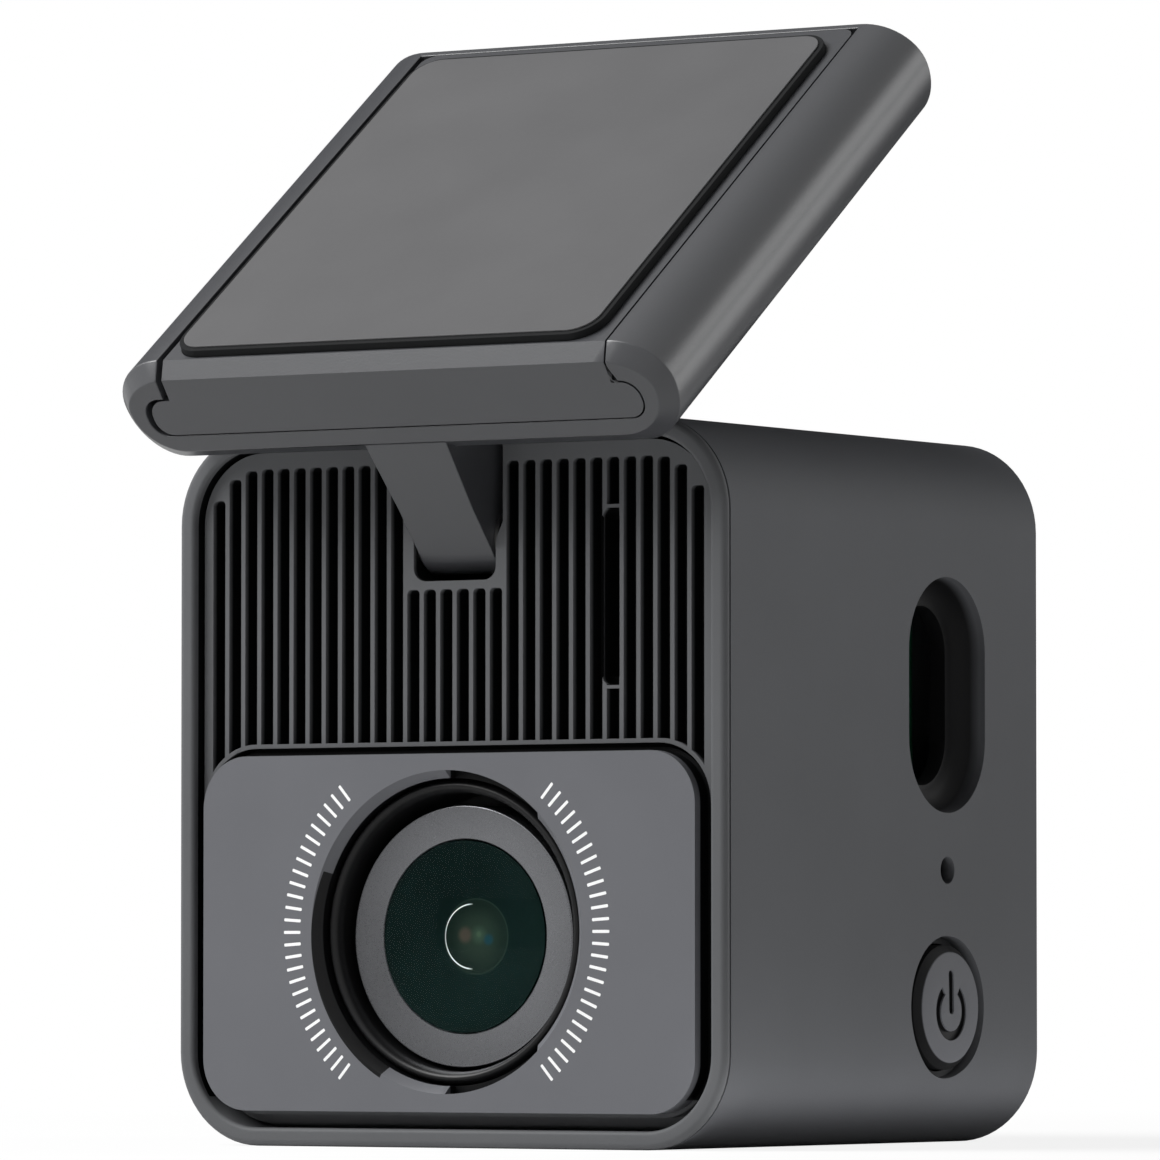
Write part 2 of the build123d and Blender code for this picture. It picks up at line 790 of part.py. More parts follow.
# Infrared filter, seated in the holder's cavity in front of the sensor
with BuildPart() as ir_filter:
    with BuildSketch(at_depth(sensor_board_depth - holder_cavity)):
        with Locations((0, lens_height)):
            Rectangle(filter_size, filter_size)
    extrude(amount=-filter_thickness)
save(ir_filter, "ir_filter")

# Image sensor
with BuildPart() as image_sensor:
    with BuildSketch(at_depth(sensor_board_depth)):
        with Locations((0, lens_height)):
            Rectangle(sensor_size, sensor_size)
    extrude(amount=sensor_thickness)
    chamfer(image_sensor.faces().sort_by(Axis.Y)[0].edges(), sensor_thickness / 4)
save(image_sensor, "image_sensor")

# Sensor board
with BuildPart() as sensor_board:
    with BuildSketch(at_depth(sensor_board_depth)):
        with Locations((0, lens_height)):
            RectangleRounded(board_width, sensor_board_height, board_corner)
        with Locations(*sensor_screw_spots):
            Circle(screw_radius + plug_gap, mode=Mode.SUBTRACT)
    extrude(amount=-board_thickness)
save(sensor_board, "sensor_board")

# Main board, cut back at the charging port so that a plug's body has room
with BuildPart() as main_board:
    with BuildSketch(at_depth(main_board_depth)):
        with Locations((0, body_height / 2)):
            RectangleRounded(board_width, main_board_height, board_corner)
        with Locations((board_width / 2, port_height)):
            Rectangle(board_width - 2 * port_mouth, recess_length, mode=Mode.SUBTRACT)
        with Locations(*main_screw_spots):
            Circle(screw_radius + plug_gap, mode=Mode.SUBTRACT)
    extrude(amount=-board_thickness)
save(main_board, "main_board")

# Charging port: a stadium shell and the tongue that stands in it
port_plane = side.offset(port_mouth - side_x)
with BuildPart() as usb_shell:
    with BuildSketch(port_plane):
        with Locations((0, port_height)):
            SlotOverall(shell_width, shell_thickness, rotation=90)
            SlotOverall(
                shell_width - 2 * shell_sheet, shell_thickness - 2 * shell_sheet, rotation=90,
                mode=Mode.SUBTRACT,
            )
    extrude(amount=-shell_length)
save(usb_shell, "usb_shell")

with BuildPart() as usb_tongue:
    with BuildSketch(port_plane.offset(-shell_length)):
        with Locations((0, port_height)):
            SlotOverall(
                shell_width - 2 * (shell_sheet + plug_gap), shell_thickness - 2 * (shell_sheet + plug_gap),
                rotation=90,
            )
    extrude(amount=shell_length - tongue_length - tongue_setback)
    with BuildSketch(port_plane.offset(-tongue_setback)):
        with Locations((0, port_height)):
            Rectangle(tongue_thickness, tongue_width)
    extrude(amount=-tongue_length)
save(usb_tongue, "usb_tongue")

# Memory card socket behind the card slot, on its upright board
with BuildPart() as card_socket:
    with BuildSketch(at_depth(cover_back)):
        with Locations((card_x, card_height)):
            Rectangle(card_socket_thickness, card_width + 2 * card_socket_margin)
            Rectangle(card_gap, card_width + 2 * plug_gap, mode=Mode.SUBTRACT)
    extrude(amount=-card_socket_depth)
save(card_socket, "card_socket")

with BuildPart() as card_board:
    with BuildSketch(Plane.YZ.offset(card_x + card_socket_thickness / 2)):
        with Locations((card_board_front - body_depth / 2, card_height)):
            Rectangle(
                sensor_board_depth - board_gap - card_board_front, card_width + 2 * card_board_overhang,
                align=(Align.MIN, Align.CENTER),
            )
        with Locations((card_board_front - body_depth / 2, card_board_top)):
            Rectangle(main_board_depth - card_board_front, card_board_tail, align=(Align.MIN, Align.MAX))
    extrude(amount=card_board_thickness)
save(card_board, "card_board")

# Header that joins the sensor board to the main board
with BuildPart() as board_header:
    with BuildSketch(at_depth(sensor_board_depth + board_thickness)):
        with Locations((header_x, lens_height + sensor_post_rise)):
            Rectangle(header_width, header_height)
    extrude(amount=-(main_board_depth - sensor_board_depth - board_thickness))
save(board_header, "board_header")

# Push switch under the power button
with BuildPart() as switch_body:
    with BuildSketch(side.offset(switch_face - side_x)):
        with Locations((main_board_depth - port_depth, button_height)):
            Rectangle(switch_length, switch_width, align=(Align.MAX, Align.CENTER))
    extrude(amount=-switch_length)
    with BuildSketch(side.offset(switch_face - side_x)):
        with Locations((0, button_height)):
            Circle(plunger_radius + plug_gap)
    extrude(amount=-(plunger_in_switch + button_travel + plug_gap), mode=Mode.SUBTRACT)
save(switch_body, "switch_body")

# Microphone capsule behind its hole
with BuildPart() as microphone:
    with BuildSketch(side.offset(-wall - plug_gap)):
        with Locations((0, mic_height)):
            Circle(mic_radius)
    extrude(amount=-mic_length)
save(microphone, "microphone")

# Processor, thermal pad and heat spreader on the back of the main board
with BuildPart() as processor:
    with BuildSketch(at_depth(back_of_main_board)):
        with Locations((0, chip_height)):
            Rectangle(chip_size, chip_size)
    extrude(amount=-chip_thickness)
save(processor, "processor")

with BuildPart() as thermal_pad:
    with BuildSketch(at_depth(back_of_main_board + chip_thickness)):
        with Locations((0, chip_height)):
            Rectangle(chip_size, chip_size)
    extrude(amount=-pad_thickness)
save(thermal_pad, "thermal_pad")

with BuildPart() as heat_spreader:
    with BuildSketch(at_depth(back_of_main_board + chip_thickness + pad_thickness)):
        with Locations((0, chip_height)):
            Rectangle(chip_size + 2 * spreader_margin, chip_size)
    extrude(amount=-spreader_thickness)
save(heat_spreader, "heat_spreader")

# Backup capacitors that keep the last recording safe when power is cut
with BuildPart() as backup_capacitors:
    with BuildSketch(Plane.XY.offset(capacitor_height)):
        with Locations((0, back_of_main_board + capacitor_radius - body_depth / 2)):
            with GridLocations(2 * capacitor_x, 0, 2, 1):
                Circle(capacitor_radius)
    extrude(amount=capacitor_length)
    ends = backup_capacitors.edges().filter_by(GeomType.CIRCLE)
    fillet(ends, capacitor_radius / 8)
save(backup_capacitors, "backup_capacitors")

# Speaker on the inside of the rear cover
with BuildPart() as speaker:
    with BuildSketch(at_depth(rear_cover_depth)):
        with Locations((0, speaker_height)):
            Circle(speaker_radius)
    extrude(amount=speaker_length)
    with BuildSketch(at_depth(rear_cover_depth)):
        with Locations((0, speaker_height)):
            Circle(speaker_radius - speaker_wall)
    extrude(amount=speaker_length / 3, mode=Mode.SUBTRACT)
save(speaker, "speaker")

# Rear cover, with sound slots and posts for the main board
with BuildPart() as rear_cover:
    with BuildSketch(at_depth(rear_cover_depth)):
        body_outline(wall + rear_gap)
        with Locations((0, speaker_height)):
            with GridLocations(vent_pitch, 0, vent_count, 1):
                SlotOverall(speaker_radius, vent_width, rotation=90, mode=Mode.SUBTRACT)
    extrude(amount=-rear_thickness)
    with BuildSketch(at_depth(rear_cover_depth)):
        with Locations(*main_screw_spots):
            Circle(post_radius)
            Circle(screw_radius + plug_gap, mode=Mode.SUBTRACT)
    extrude(amount=rear_cover_depth - back_of_main_board)
    with Locations(*[rear_facing(x, z, body_depth) for x, z in rear_screw_spots]):
        CounterSinkHole(screw_radius + plug_gap, screw_head_radius + plug_gap, 2 * rear_thickness, 90)
save(rear_cover, "rear_cover")

# Screws
flat_screw = screw(45)
pan_screw = screw(0)
board_screw_depth = sensor_board_depth + board_thickness + screw_head_height
bracket_back = bracket_plate_depth + bracket_thickness
with BuildPart() as rear_cover_screws:
    with Locations(*[rear_facing(x, z, body_depth) for x, z in rear_screw_spots]):
        add(flat_screw)
save(rear_cover_screws, "rear_cover_screws")

with BuildPart() as main_board_screws:
    with Locations(*[front_facing(x, z, main_board_depth - screw_head_height) for x, z in main_screw_spots]):
        add(pan_screw)
save(main_board_screws, "main_board_screws")

with BuildPart() as sensor_board_screws:
    with Locations(*[rear_facing(x, z, board_screw_depth) for x, z in sensor_screw_spots]):
        add(pan_screw)
save(sensor_board_screws, "sensor_board_screws")

with BuildPart() as bracket_screws:
    with Locations(*[rear_facing(x, z, bracket_back + screw_head_height) for x, z in bracket_screw_spots]):
        add(pan_screw)
save(bracket_screws, "bracket_screws")

# Hinge bracket: a plate behind the cover with two ears round the pin
with BuildPart() as hinge_bracket:
    with BuildSketch(at_depth(bracket_plate_depth)):
        with Locations((0, pivot_height)):
            Rectangle(bracket_width, bracket_height)
        with Locations(*bracket_screw_spots):
            Circle(screw_radius + plug_gap, mode=Mode.SUBTRACT)
    extrude(amount=-bracket_thickness)
    for ear_x in (-ear_outside, notch_half_width):
        with BuildSketch(Plane.YZ.offset(ear_x)):
            with Locations((pivot_y, pivot_height)):
                Circle(ear_radius)
                Rectangle(
                    bracket_plate_depth - pivot_depth, 2 * ear_radius, align=(Align.MIN, Align.CENTER)
                )
                Circle(pin_radius + pin_fit, mode=Mode.SUBTRACT)
        extrude(amount=ear_thickness)
save(hinge_bracket, "hinge_bracket")

# Hinge pin
with BuildPart() as hinge_pin:
    with BuildSketch(Plane.YZ.offset(-ear_outside)):
        with Locations((pivot_y, pivot_height)):
            Circle(pin_radius)
    extrude(amount=2 * ear_outside)
    chamfer(hinge_pin.edges().filter_by(GeomType.CIRCLE), pin_radius / 5)
save(hinge_pin, "hinge_pin")

# Friction washers between the ears and the arm's barrel
with BuildPart() as hinge_washers:
    for washer_x in (-notch_half_width + washer_gap, barrel_half_width + washer_gap):
        with BuildSketch(Plane.YZ.offset(washer_x)):
            with Locations((pivot_y, pivot_height)):
                Circle(washer_radius)
                Circle(pin_radius + pin_fit, mode=Mode.SUBTRACT)
        extrude(amount=washer_thickness)
save(hinge_washers, "hinge_washers")

# Power button: a low domed cap with a retaining flange and a stem
button_section = Plane(origin=(0, port_y, button_height), x_dir=(0, 0, 1), z_dir=(0, 1, 0))
flange_outside = side_x - wall - plug_gap
flange_inside = flange_outside - flange_thickness
with BuildPart() as power_button:
    with BuildSketch(button_section):
        with BuildLine():
            Polyline(
                (0, side_x + button_proud),
                (0, stem_end),
                (stem_radius, stem_end),
                (stem_radius, flange_inside),
                (button_radius + button_flange, flange_inside),
                (button_radius + button_flange, flange_outside),
                (button_radius, flange_outside),
                (button_radius, side_x - button_bevel / 2),
                (button_radius - button_bevel, side_x + button_proud - button_dome),
            )
            RadiusArc(
                (button_radius - button_bevel, side_x + button_proud - button_dome),
                (0, side_x + button_proud),
                -dome_radius(button_radius - button_bevel, button_dome),
            )
        make_face()
    revolve(axis=Axis((0, port_y, button_height), (1, 0, 0)))
save(power_button, "power_button")

# Plunger of the push switch, which the button's stem moves
with BuildPart() as switch_plunger:
    with BuildSketch(side.offset(stem_end - side_x)):
        with Locations((0, button_height)):
            Circle(plunger_radius)
    extrude(amount=-(stem_end - switch_face + plunger_in_switch))
save(switch_plunger, "switch_plunger")

# Mount head's outer form, from which the carrier and the slide plate are both cut
widest = head_thickness - upper_round_height
with BuildPart() as head_form:
    with BuildSketch(head_end):
        with BuildLine():
            upper_flat = head_width / 2 - upper_round_width
            lower_flat = head_width / 2 - lower_round_width
            Line((0, head_thickness), (upper_flat, head_thickness))
            EllipticalCenterArc((upper_flat, widest), upper_round_width, upper_round_height, 0, arc_size=90)
            EllipticalCenterArc((lower_flat, widest), lower_round_width, widest, 270, arc_size=90)
            Line((lower_flat, 0), (0, 0))
            mirror(about=Plane.YZ)
        make_face()
    extrude(amount=-head_length)
    front_face = head_form.faces().sort_by(Axis((0, 0, 0), along))[0]
    chamfer(front_face.edges(), front_chamfer)

# Hinge arm: flat-faced, round at the pivot, and a little wider towards the head
with BuildPart() as arm:
    with BuildSketch(head_side.offset(-notch_width)):
        with Locations((pivot_along, pivot_out)):
            Circle(hinge_radius)
        Rectangle(arm_root, arm_sink, align=(Align.MIN, Align.MIN))
        make_hull()
    extrude(amount=2 * notch_width)
    with BuildSketch(Plane.XZ.offset(-pivot_y)):
        with BuildLine():
            wide_above = barrel_half_width + body_height * tan(radians(arm_draft))
            Polyline(
                (0, 0),
                (barrel_half_width, 0),
                (barrel_half_width, arm_straight),
                (wide_above, arm_straight + body_height),
                (0, arm_straight + body_height),
            )
            mirror(about=Plane.YZ)
        make_face()
    extrude(amount=body_depth, both=True, mode=Mode.INTERSECT)

# Mount carrier: an open-topped channel for the slide plate, with the hinge arm moulded on
with BuildPart() as mount_carrier:
    add(head_form.part)
    with BuildSketch(head_end):
        with Locations((0, (slide_bottom + slide_top) / 2)):
            RectangleRounded(
                slide_width + 2 * slide_side_gap, slide_top - slide_bottom + 2 * slide_play,
                slide_round + slide_play,
            )
        with Locations((0, slide_bottom)):
            Rectangle(
                neck_width + 2 * slide_side_gap, head_thickness, align=(Align.CENTER, Align.MIN)
            )
    extrude(amount=-(head_length - rear_rim), mode=Mode.SUBTRACT)
    add(arm.part)
    with BuildSketch(head_side.offset(-2 * notch_width)):
        with Locations((pivot_along, pivot_out)):
            Circle(pin_radius + pin_fit)
    extrude(amount=4 * notch_width, mode=Mode.SUBTRACT)
save(mount_carrier, "mount_carrier")

# Slide plate: stays on the windscreen while the camera slides off it
with BuildPart() as slide_plate:
    with BuildSketch(head_end):
        with Locations((slide_shift, (slide_bottom + slide_top) / 2)):
            RectangleRounded(slide_width, slide_top - slide_bottom, slide_round)
        with Locations((slide_shift, slide_bottom)):
            Rectangle(neck_width, head_thickness - slide_bottom, align=(Align.CENTER, Align.MIN))
    extrude(amount=-(head_length - rear_rim - slide_play))
    upright = slide_plate.edges().filter_by(Axis((0, 0, 0), out))
    fillet(upright.group_by(Axis((0, 0, 0), along))[-1], slide_corner)
    add(head_form.part, mode=Mode.INTERSECT)
    with BuildSketch(head_top):
        film_outline(foam_margin + plug_gap)
    extrude(amount=-pocket_depth, mode=Mode.SUBTRACT)
save(slide_plate, "slide_plate")

# Foam pad in the plate's pocket, and the film on it
with BuildPart() as foam_pad:
    with BuildSketch(head_top.offset(-pocket_depth)):
        film_outline(foam_margin)
    extrude(amount=pocket_depth + foam_proud)
save(foam_pad, "foam_pad")

with BuildPart() as pad_film:
    with BuildSketch(head_top.offset(foam_proud)):
        film_outline(0)
    extrude(amount=film_thickness)
save(pad_film, "pad_film")
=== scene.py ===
import json
import math
from functools import partial

import bmesh
import bpy
from bpy.props import FloatProperty, IntProperty, PointerProperty
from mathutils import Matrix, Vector


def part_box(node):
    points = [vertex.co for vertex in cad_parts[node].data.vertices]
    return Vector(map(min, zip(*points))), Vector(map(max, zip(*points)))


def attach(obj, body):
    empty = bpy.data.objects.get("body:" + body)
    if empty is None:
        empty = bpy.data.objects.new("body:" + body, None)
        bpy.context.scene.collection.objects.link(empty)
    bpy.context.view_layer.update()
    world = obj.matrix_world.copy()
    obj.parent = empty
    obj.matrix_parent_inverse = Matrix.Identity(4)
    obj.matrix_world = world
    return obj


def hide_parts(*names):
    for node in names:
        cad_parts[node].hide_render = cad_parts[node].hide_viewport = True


bl_info = {
    "name": "Dash camera",
    "version": (1, 0, 0),
    "blender": (4, 5, 0),
    "location": "3D View > Sidebar > Dash camera",
    "description": "Dresses a cube-shaped dash camera with a slide-on windscreen mount",
    "category": "Object",
}

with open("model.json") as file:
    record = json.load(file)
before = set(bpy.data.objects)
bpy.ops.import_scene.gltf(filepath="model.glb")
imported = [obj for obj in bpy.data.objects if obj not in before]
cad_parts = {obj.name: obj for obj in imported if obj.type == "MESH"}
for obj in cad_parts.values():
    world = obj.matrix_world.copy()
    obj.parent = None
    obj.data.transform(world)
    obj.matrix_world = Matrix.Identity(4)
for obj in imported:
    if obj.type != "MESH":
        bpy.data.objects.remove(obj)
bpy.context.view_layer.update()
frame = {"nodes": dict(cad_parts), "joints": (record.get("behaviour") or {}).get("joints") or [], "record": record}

# Lengths below are in millimetres, and meshes are written in metres
MM = 0.001
# Stands for a radius of zero, where a lathed solid meets its axis
AXIS = 1e-4
# A spark-eroded texture scatters what a smooth plastic would reflect
TEXTURED_IOR = 1.18
# Size of the broad patches in which a moulded colour varies
PATCH = 9
# Up to this height the painted shade is left out of the gaps, as the floor shines into them
LIT_HEIGHT = 3.2


def box_mm(node):
    """Lowest and highest corner of a CAD node, in millimetres."""
    low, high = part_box(node)
    return low / MM, high / MM


def entry_of(entries, name):
    """The entry with a name in one of the frame's lists."""
    for entry in entries:
        if entry["name"] == name:
            return entry
    raise RuntimeError(f"nothing named {name}")


# Places that follow from the frame
FRAME_LOW, FRAME_HIGH = box_mm("front_frame")
SLEEVE_LOW, SLEEVE_HIGH = box_mm("housing_sleeve")
COVER_HIGH = box_mm("ribbed_cover")[1]
PLATE_LOW, PLATE_HIGH = box_mm("lens_plate")
SHROUD_LOW, SHROUD_HIGH = box_mm("lens_shroud")
RING_LOW, RING_HIGH = box_mm("lens_ring")
GLASS_LOW, GLASS_HIGH = box_mm("front_lens")
BUTTON_LOW, BUTTON_HIGH = box_mm("power_button")
PORT_LOW, PORT_HIGH = box_mm("usb_shell")
MIC_LOW, MIC_HIGH = box_mm("microphone")
SOCKET_LOW, SOCKET_HIGH = box_mm("card_socket")
CARRIER_LOW, CARRIER_HIGH = box_mm("mount_carrier")
PIVOT = Vector(entry_of(frame["joints"], "tilt")["pos_m"]) / MM
PAD = entry_of(frame["record"]["mounts"], "windscreen_pad")
PAD_PLACE, PAD_AXIS = Vector(PAD["pos_m"]) / MM, Vector(PAD["axis"])
TILT = math.atan2(-PAD_AXIS.y, PAD_AXIS.z)

FRONT = FRAME_LOW.y
# Depth of the shelf that the cover rests on, with the flange of the shroud behind it
COVER_BACK = SHROUD_HIGH.y - FRONT - 2.57
BODY_WIDTH = FRAME_HIGH.x - FRAME_LOW.x
BODY_HEIGHT = FRAME_HIGH.z - FRAME_LOW.z
SIDE = SLEEVE_HIGH.x
PLATE_RADIUS = 3.4
# The lens window in the plate, just inside the widest edge of the slope round it
WINDOW_RADIUS, SLOPE_RADIUS = 9.98, 10.49
CARD = ((SOCKET_LOW.x + SOCKET_HIGH.x) / 2, (SOCKET_LOW.z + SOCKET_HIGH.z) / 2)
CARD_SLOT_WIDTH, CARD_SLOT_LENGTH = 1.33, 11.42
WINDOW = (0, 0, (SHROUD_LOW.z + SHROUD_HIGH.z) / 2)
LENS = (0, 0, (RING_LOW.z + RING_HIGH.z) / 2)
PORT_Y = (BUTTON_LOW.y + BUTTON_HIGH.y) / 2
PORT = (PORT_Y, (PORT_LOW.z + PORT_HIGH.z) / 2)
BUTTON = (0, PORT_Y, (BUTTON_LOW.z + BUTTON_HIGH.z) / 2)
MIC = (0, PORT_Y, (MIC_LOW.z + MIC_HIGH.z) / 2)


# ---------------------------------------------------------------- sizes a user would change


def size(name, default, description, **settings):
    """A size in a panel of sizes."""
    return FloatProperty(name=name, description=description, default=default, **settings)


class BodySizes(bpy.types.PropertyGroup):
    """Sizes of the housing, in millimetres"""

    corner: size("Corner radius", 6.13, "Rounding of the body's outline")
    wall: size("Wall", 1.6, "Thickness of the sleeve")
    rail: size("Rail", 1.2, "Width of the front frame's face")
    band: size("Band", 0.52, "Depth of the frame's side band")
    parting: size("Parting", 0.35, "Depth of the groove behind the band")
    edge: size("Edge", 0.07, "Rounding of moulded edges")
    front_edge: size("Front edge", 0.45, "Rounding of the frame's outer edge")
    inner_edge: size("Inner edge", 0.3, "Rounding of the frame's inner edge")
    notch: size("Notch", 3.75, "Half width of the hinge notch above its shoulders")


class GrilleSizes(bpy.types.PropertyGroup):
    """Sizes of the ribbed cover, in millimetres"""

    count: IntProperty(name="Grooves", description="Number of upright grooves", default=30)
    pitch: size("Pitch", 1.286, "Distance between grooves")
    rib: size("Rib", 0.32, "Width of a rib's face")
    depth: size("Depth", 1.15, "Depth of the grooves")
    draft: size("Draft", math.radians(6), "Slope of the groove walls", subtype="ANGLE")
    face: size("Face", 0.91, "Depth of the ribs behind the frame")
    thickness: size("Thickness", 2.72, "Thickness of the cover")
    top: size("Top", 44.51, "Height of the grooves' upper ends")
    sill: size("Sill", 36.27, "Height of the grooves' upper ends under the notch")
    corner: size("Corner", 3.9, "Rounding of the grooved field")
    end: size("End", 0.3, "Rounding of each groove's upper end")
    notch: size("Notch", 4.04, "Half width of the plain margin round the notch")
    lip: size("Lip", 0.8, "Margin between grooves and lens plate")


class ScaleSizes(bpy.types.PropertyGroup):
    """Sizes of the printed scale round the lens, in millimetres"""

    count: IntProperty(name="Ticks", description="Number of ticks in each arc", default=27)
    radius: size("Radius", 12.0, "Middle of the ticks from the lens axis")
    length: size("Length", 1.3, "Length of a tick")
    width: size("Width", 0.2, "Width of a tick")
    sweep: size("Sweep", math.radians(98), "Angle that each arc covers", subtype="ANGLE")


# ---------------------------------------------------------------- colours and nodes


def linear(colour):
    """An sRGB hex colour as linear red, green, blue and alpha."""
    channels = [int(colour[i : i + 2], 16) / 255 for i in (1, 3, 5)]
    return [c / 12.92 if c <= 0.04045 else ((c + 0.055) / 1.055) ** 2.4 for c in channels] + [1.0]


def fill(tree, node, inputs):
    """Sets a node's inputs to values, or links them to a socket or to the first socket of a node."""
    for name, value in inputs.items():
        if isinstance(value, bpy.types.Node):
            value = value.outputs[0]
        if isinstance(value, bpy.types.NodeSocket):
            tree.links.new(value, node.inputs[name])
        else:
            node.inputs[name].default_value = value


def add_node(tree, kind, inputs=None, **settings):
    """One node with its settings, and its inputs as values or links."""
    made = tree.nodes.new(kind)
    for name, value in settings.items():
        setattr(made, name, value)
    fill(tree, made, inputs or {})
    return made


def field_math(tree, operation, *values):
    """The result of one or more numbers, fields or both, from a math node."""
    return add_node(tree, "ShaderNodeMath", dict(enumerate(values)), operation=operation).outputs[0]


def vector_math(tree, operation, *values):
    """The result of a vector math node, which for some operations is a number."""
    made = add_node(tree, "ShaderNodeVectorMath", dict(enumerate(values)), operation=operation)
    return made.outputs["Value" if operation in ("LENGTH", "DISTANCE", "DOT_PRODUCT") else "Vector"]


def ramped(tree, value, start, end, low=0.0, high=1.0, **settings):
    """A number that runs from low to high while a value runs from start to end."""
    inputs = {"Value": value, "From Min": start, "From Max": end, "To Min": low, "To Max": high}
    return add_node(tree, "ShaderNodeMapRange", inputs, **settings).outputs["Result"]


def blended(tree, share, tint, colour):
    """A tint blended by a share into a second colour, which is given in hex."""
    inputs = {"Fac": share, "Color1": tint, "Color2": linear(colour)}
    return add_node(tree, "ShaderNodeMixRGB", inputs).outputs["Color"]


def recoloured(tree, shader, share, tint, colour):
    """Blends a shader's tint into a second colour, and returns the result."""
    final = blended(tree, share, tint, colour)
    fill(tree, shader, {"Base Color": final})
    return final


def layered(tree, share, first, second):
    """One shader blended into a second one by a share."""
    return add_node(tree, "ShaderNodeMixShader", {0: share, 1: first, 2: second})


def axes_of(tree, vector):
    """The X, Y and Z of a vector."""
    return add_node(tree, "ShaderNodeSeparateXYZ", {"Vector": vector}).outputs


def vector_of(tree, **axes):
    """A vector with the given axes, and zero along the others."""
    return add_node(tree, "ShaderNodeCombineXYZ", axes).outputs[0]


def object_place(tree):
    """The place on the object, in metres."""
    return add_node(tree, "ShaderNodeTexCoord").outputs["Object"]


def lens_plane(tree, place):
    """A place in the front view, in millimetres from the lens axis."""
    middle = vector_math(tree, "SUBTRACT", place, Vector(LENS) * MM)
    return vector_math(tree, "MULTIPLY", middle, (1 / MM, 0, 1 / MM))


def emptied_tree(owner):
    """The node tree of a material or a world, without its first nodes."""
    owner.use_nodes = True
    owner.node_tree.nodes.clear()
    return owner.node_tree


def new_material(name, **sockets):
    """A node material, its tree and its shader, whose sockets are named with underscores for spaces."""
    material = bpy.data.materials.new(name)
    tree = emptied_tree(material)
    shader = add_node(
        tree, "ShaderNodeBsdfPrincipled", {key.replace("_", " "): value for key, value in sockets.items()}
    )
    add_node(tree, "ShaderNodeOutputMaterial", {"Surface": shader})
    return material, tree, shader


def grain(tree, shader, colour, spread, roughness, rough_spread, size_mm, height_mm):
    """A moulded or blasted grain: bump, a slight colour change and a slight change of gloss."""
    place = object_place(tree)
    noise = add_node(
        tree, "ShaderNodeTexNoise",
        {"Vector": place, "Scale": 1 / (size_mm * MM), "Detail": 3.0, "Roughness": 0.6},
    )
    broad = add_node(tree, "ShaderNodeTexNoise", {"Vector": place, "Scale": 1 / (PATCH * MM), "Detail": 2.0})
    bump = add_node(tree, "ShaderNodeBump", {"Height": noise, "Distance": height_mm * MM, "Strength": 1.0})
    tints = add_node(tree, "ShaderNodeValToRGB", {"Fac": broad})
    for stop, position, sign in zip(tints.color_ramp.elements, (0.3, 0.7), (-1, 1)):
        stop.position = position
        stop.color = [c * (1 + sign * spread) for c in linear(colour)[:3]] + [1.0]
    rough = ramped(tree, noise, 0, 1, roughness - rough_spread, roughness + rough_spread)
    fill(tree, shader, {"Normal": bump, "Base Color": tints, "Roughness": rough})
    return place, tints


def shade_painted_by_depth(tree, place, tint, shader, start, end, dark):
    """Paints shade: blends a piece's colour to a dark one, from one depth behind the front face to another."""
    axes = axes_of(tree, place)
    shade = ramped(tree, axes["Y"], (FRONT + start) * MM, (FRONT + end) * MM)
    above = field_math(tree, "GREATER_THAN", axes["Z"], LIT_HEIGHT * MM)
    return recoloured(tree, shader, field_math(tree, "MULTIPLY", shade, above), tint, dark)


def textured_abs(name, colour, roughness, height_mm=0.006, ior=TEXTURED_IOR):
    """Moulded ABS with a fine spark-eroded texture, which takes most of the plastic's shine away."""
    material, tree, shader = new_material(name, IOR=ior)
    place, tint = grain(tree, shader, colour, 0.03, roughness, 0.05, 0.12, height_mm)
    return material, tree, shader, place, tint


def mount_abs():
    """The mount's satin ABS, smoother than the body's."""
    return textured_abs("mount_abs", "#404144", 0.34, ior=1.5)[0]


def button_abs():
    """The button's textured ABS, with painted shade that makes it dark on its sides."""
    material, tree, shader, place, tint = textured_abs("button_abs", "#626367", 0.44)
    top = BUTTON_HIGH.x
    # Painted shade on the cap's sides, down in its hole
    below = ramped(tree, axes_of(tree, place)["X"], (top - 0.11) * MM, (top - 0.16) * MM)
    recoloured(tree, shader, below, tint, "#1A1A1B")
    return material


def sleeve_abs():
    """The sleeve's textured ABS, with painted shade that makes it black down in the port, the microphone hole and
    the button's ring.
    """
    material, tree, shader, place, tint = textured_abs("sleeve_abs", "#58595C", 0.5)
    axes = axes_of(tree, place)
    dark = ramped(tree, axes["X"], (SIDE - 0.45) * MM, (SIDE - 1.1) * MM)
    # The painted shade only on the right, round the port, the microphone and the button
    for limit in (
        field_math(tree, "GREATER_THAN", axes["X"], 10 * MM),
        field_math(tree, "COMPARE", axes["Y"], PORT_Y * MM, 6.5 * MM),
        field_math(tree, "COMPARE", axes["Z"], 22 * MM, 17.8 * MM),
    ):
        dark = field_math(tree, "MULTIPLY", dark, limit)
    recoloured(tree, shader, dark, tint, "#141415")
    return material


def frame_abs():
    """Satin ABS on the rail's face and band, with painted shade that makes it black on the walls inside and in the
    parting groove.
    """
    material, tree, shader, place, tint = textured_abs("framed_abs", "#5E5F61", 0.48, 0.005)
    band = bpy.context.scene.dash_body.band
    shade_painted_by_depth(tree, place, tint, shader, band + 0.01, band + 0.04, "#0A0B0C")
    return material


def ribbed_abs():
    """Satin ABS on the rib faces, with painted shade that makes it black down in the grooves."""
    material, tree, shader, place, tint = textured_abs("ribbed_abs", "#606163", 0.5, 0.005)
    face = bpy.context.scene.dash_grille.face
    shade_painted_by_depth(tree, place, tint, shader, face + 0.06, face + 0.4, "#08090A")
    return material


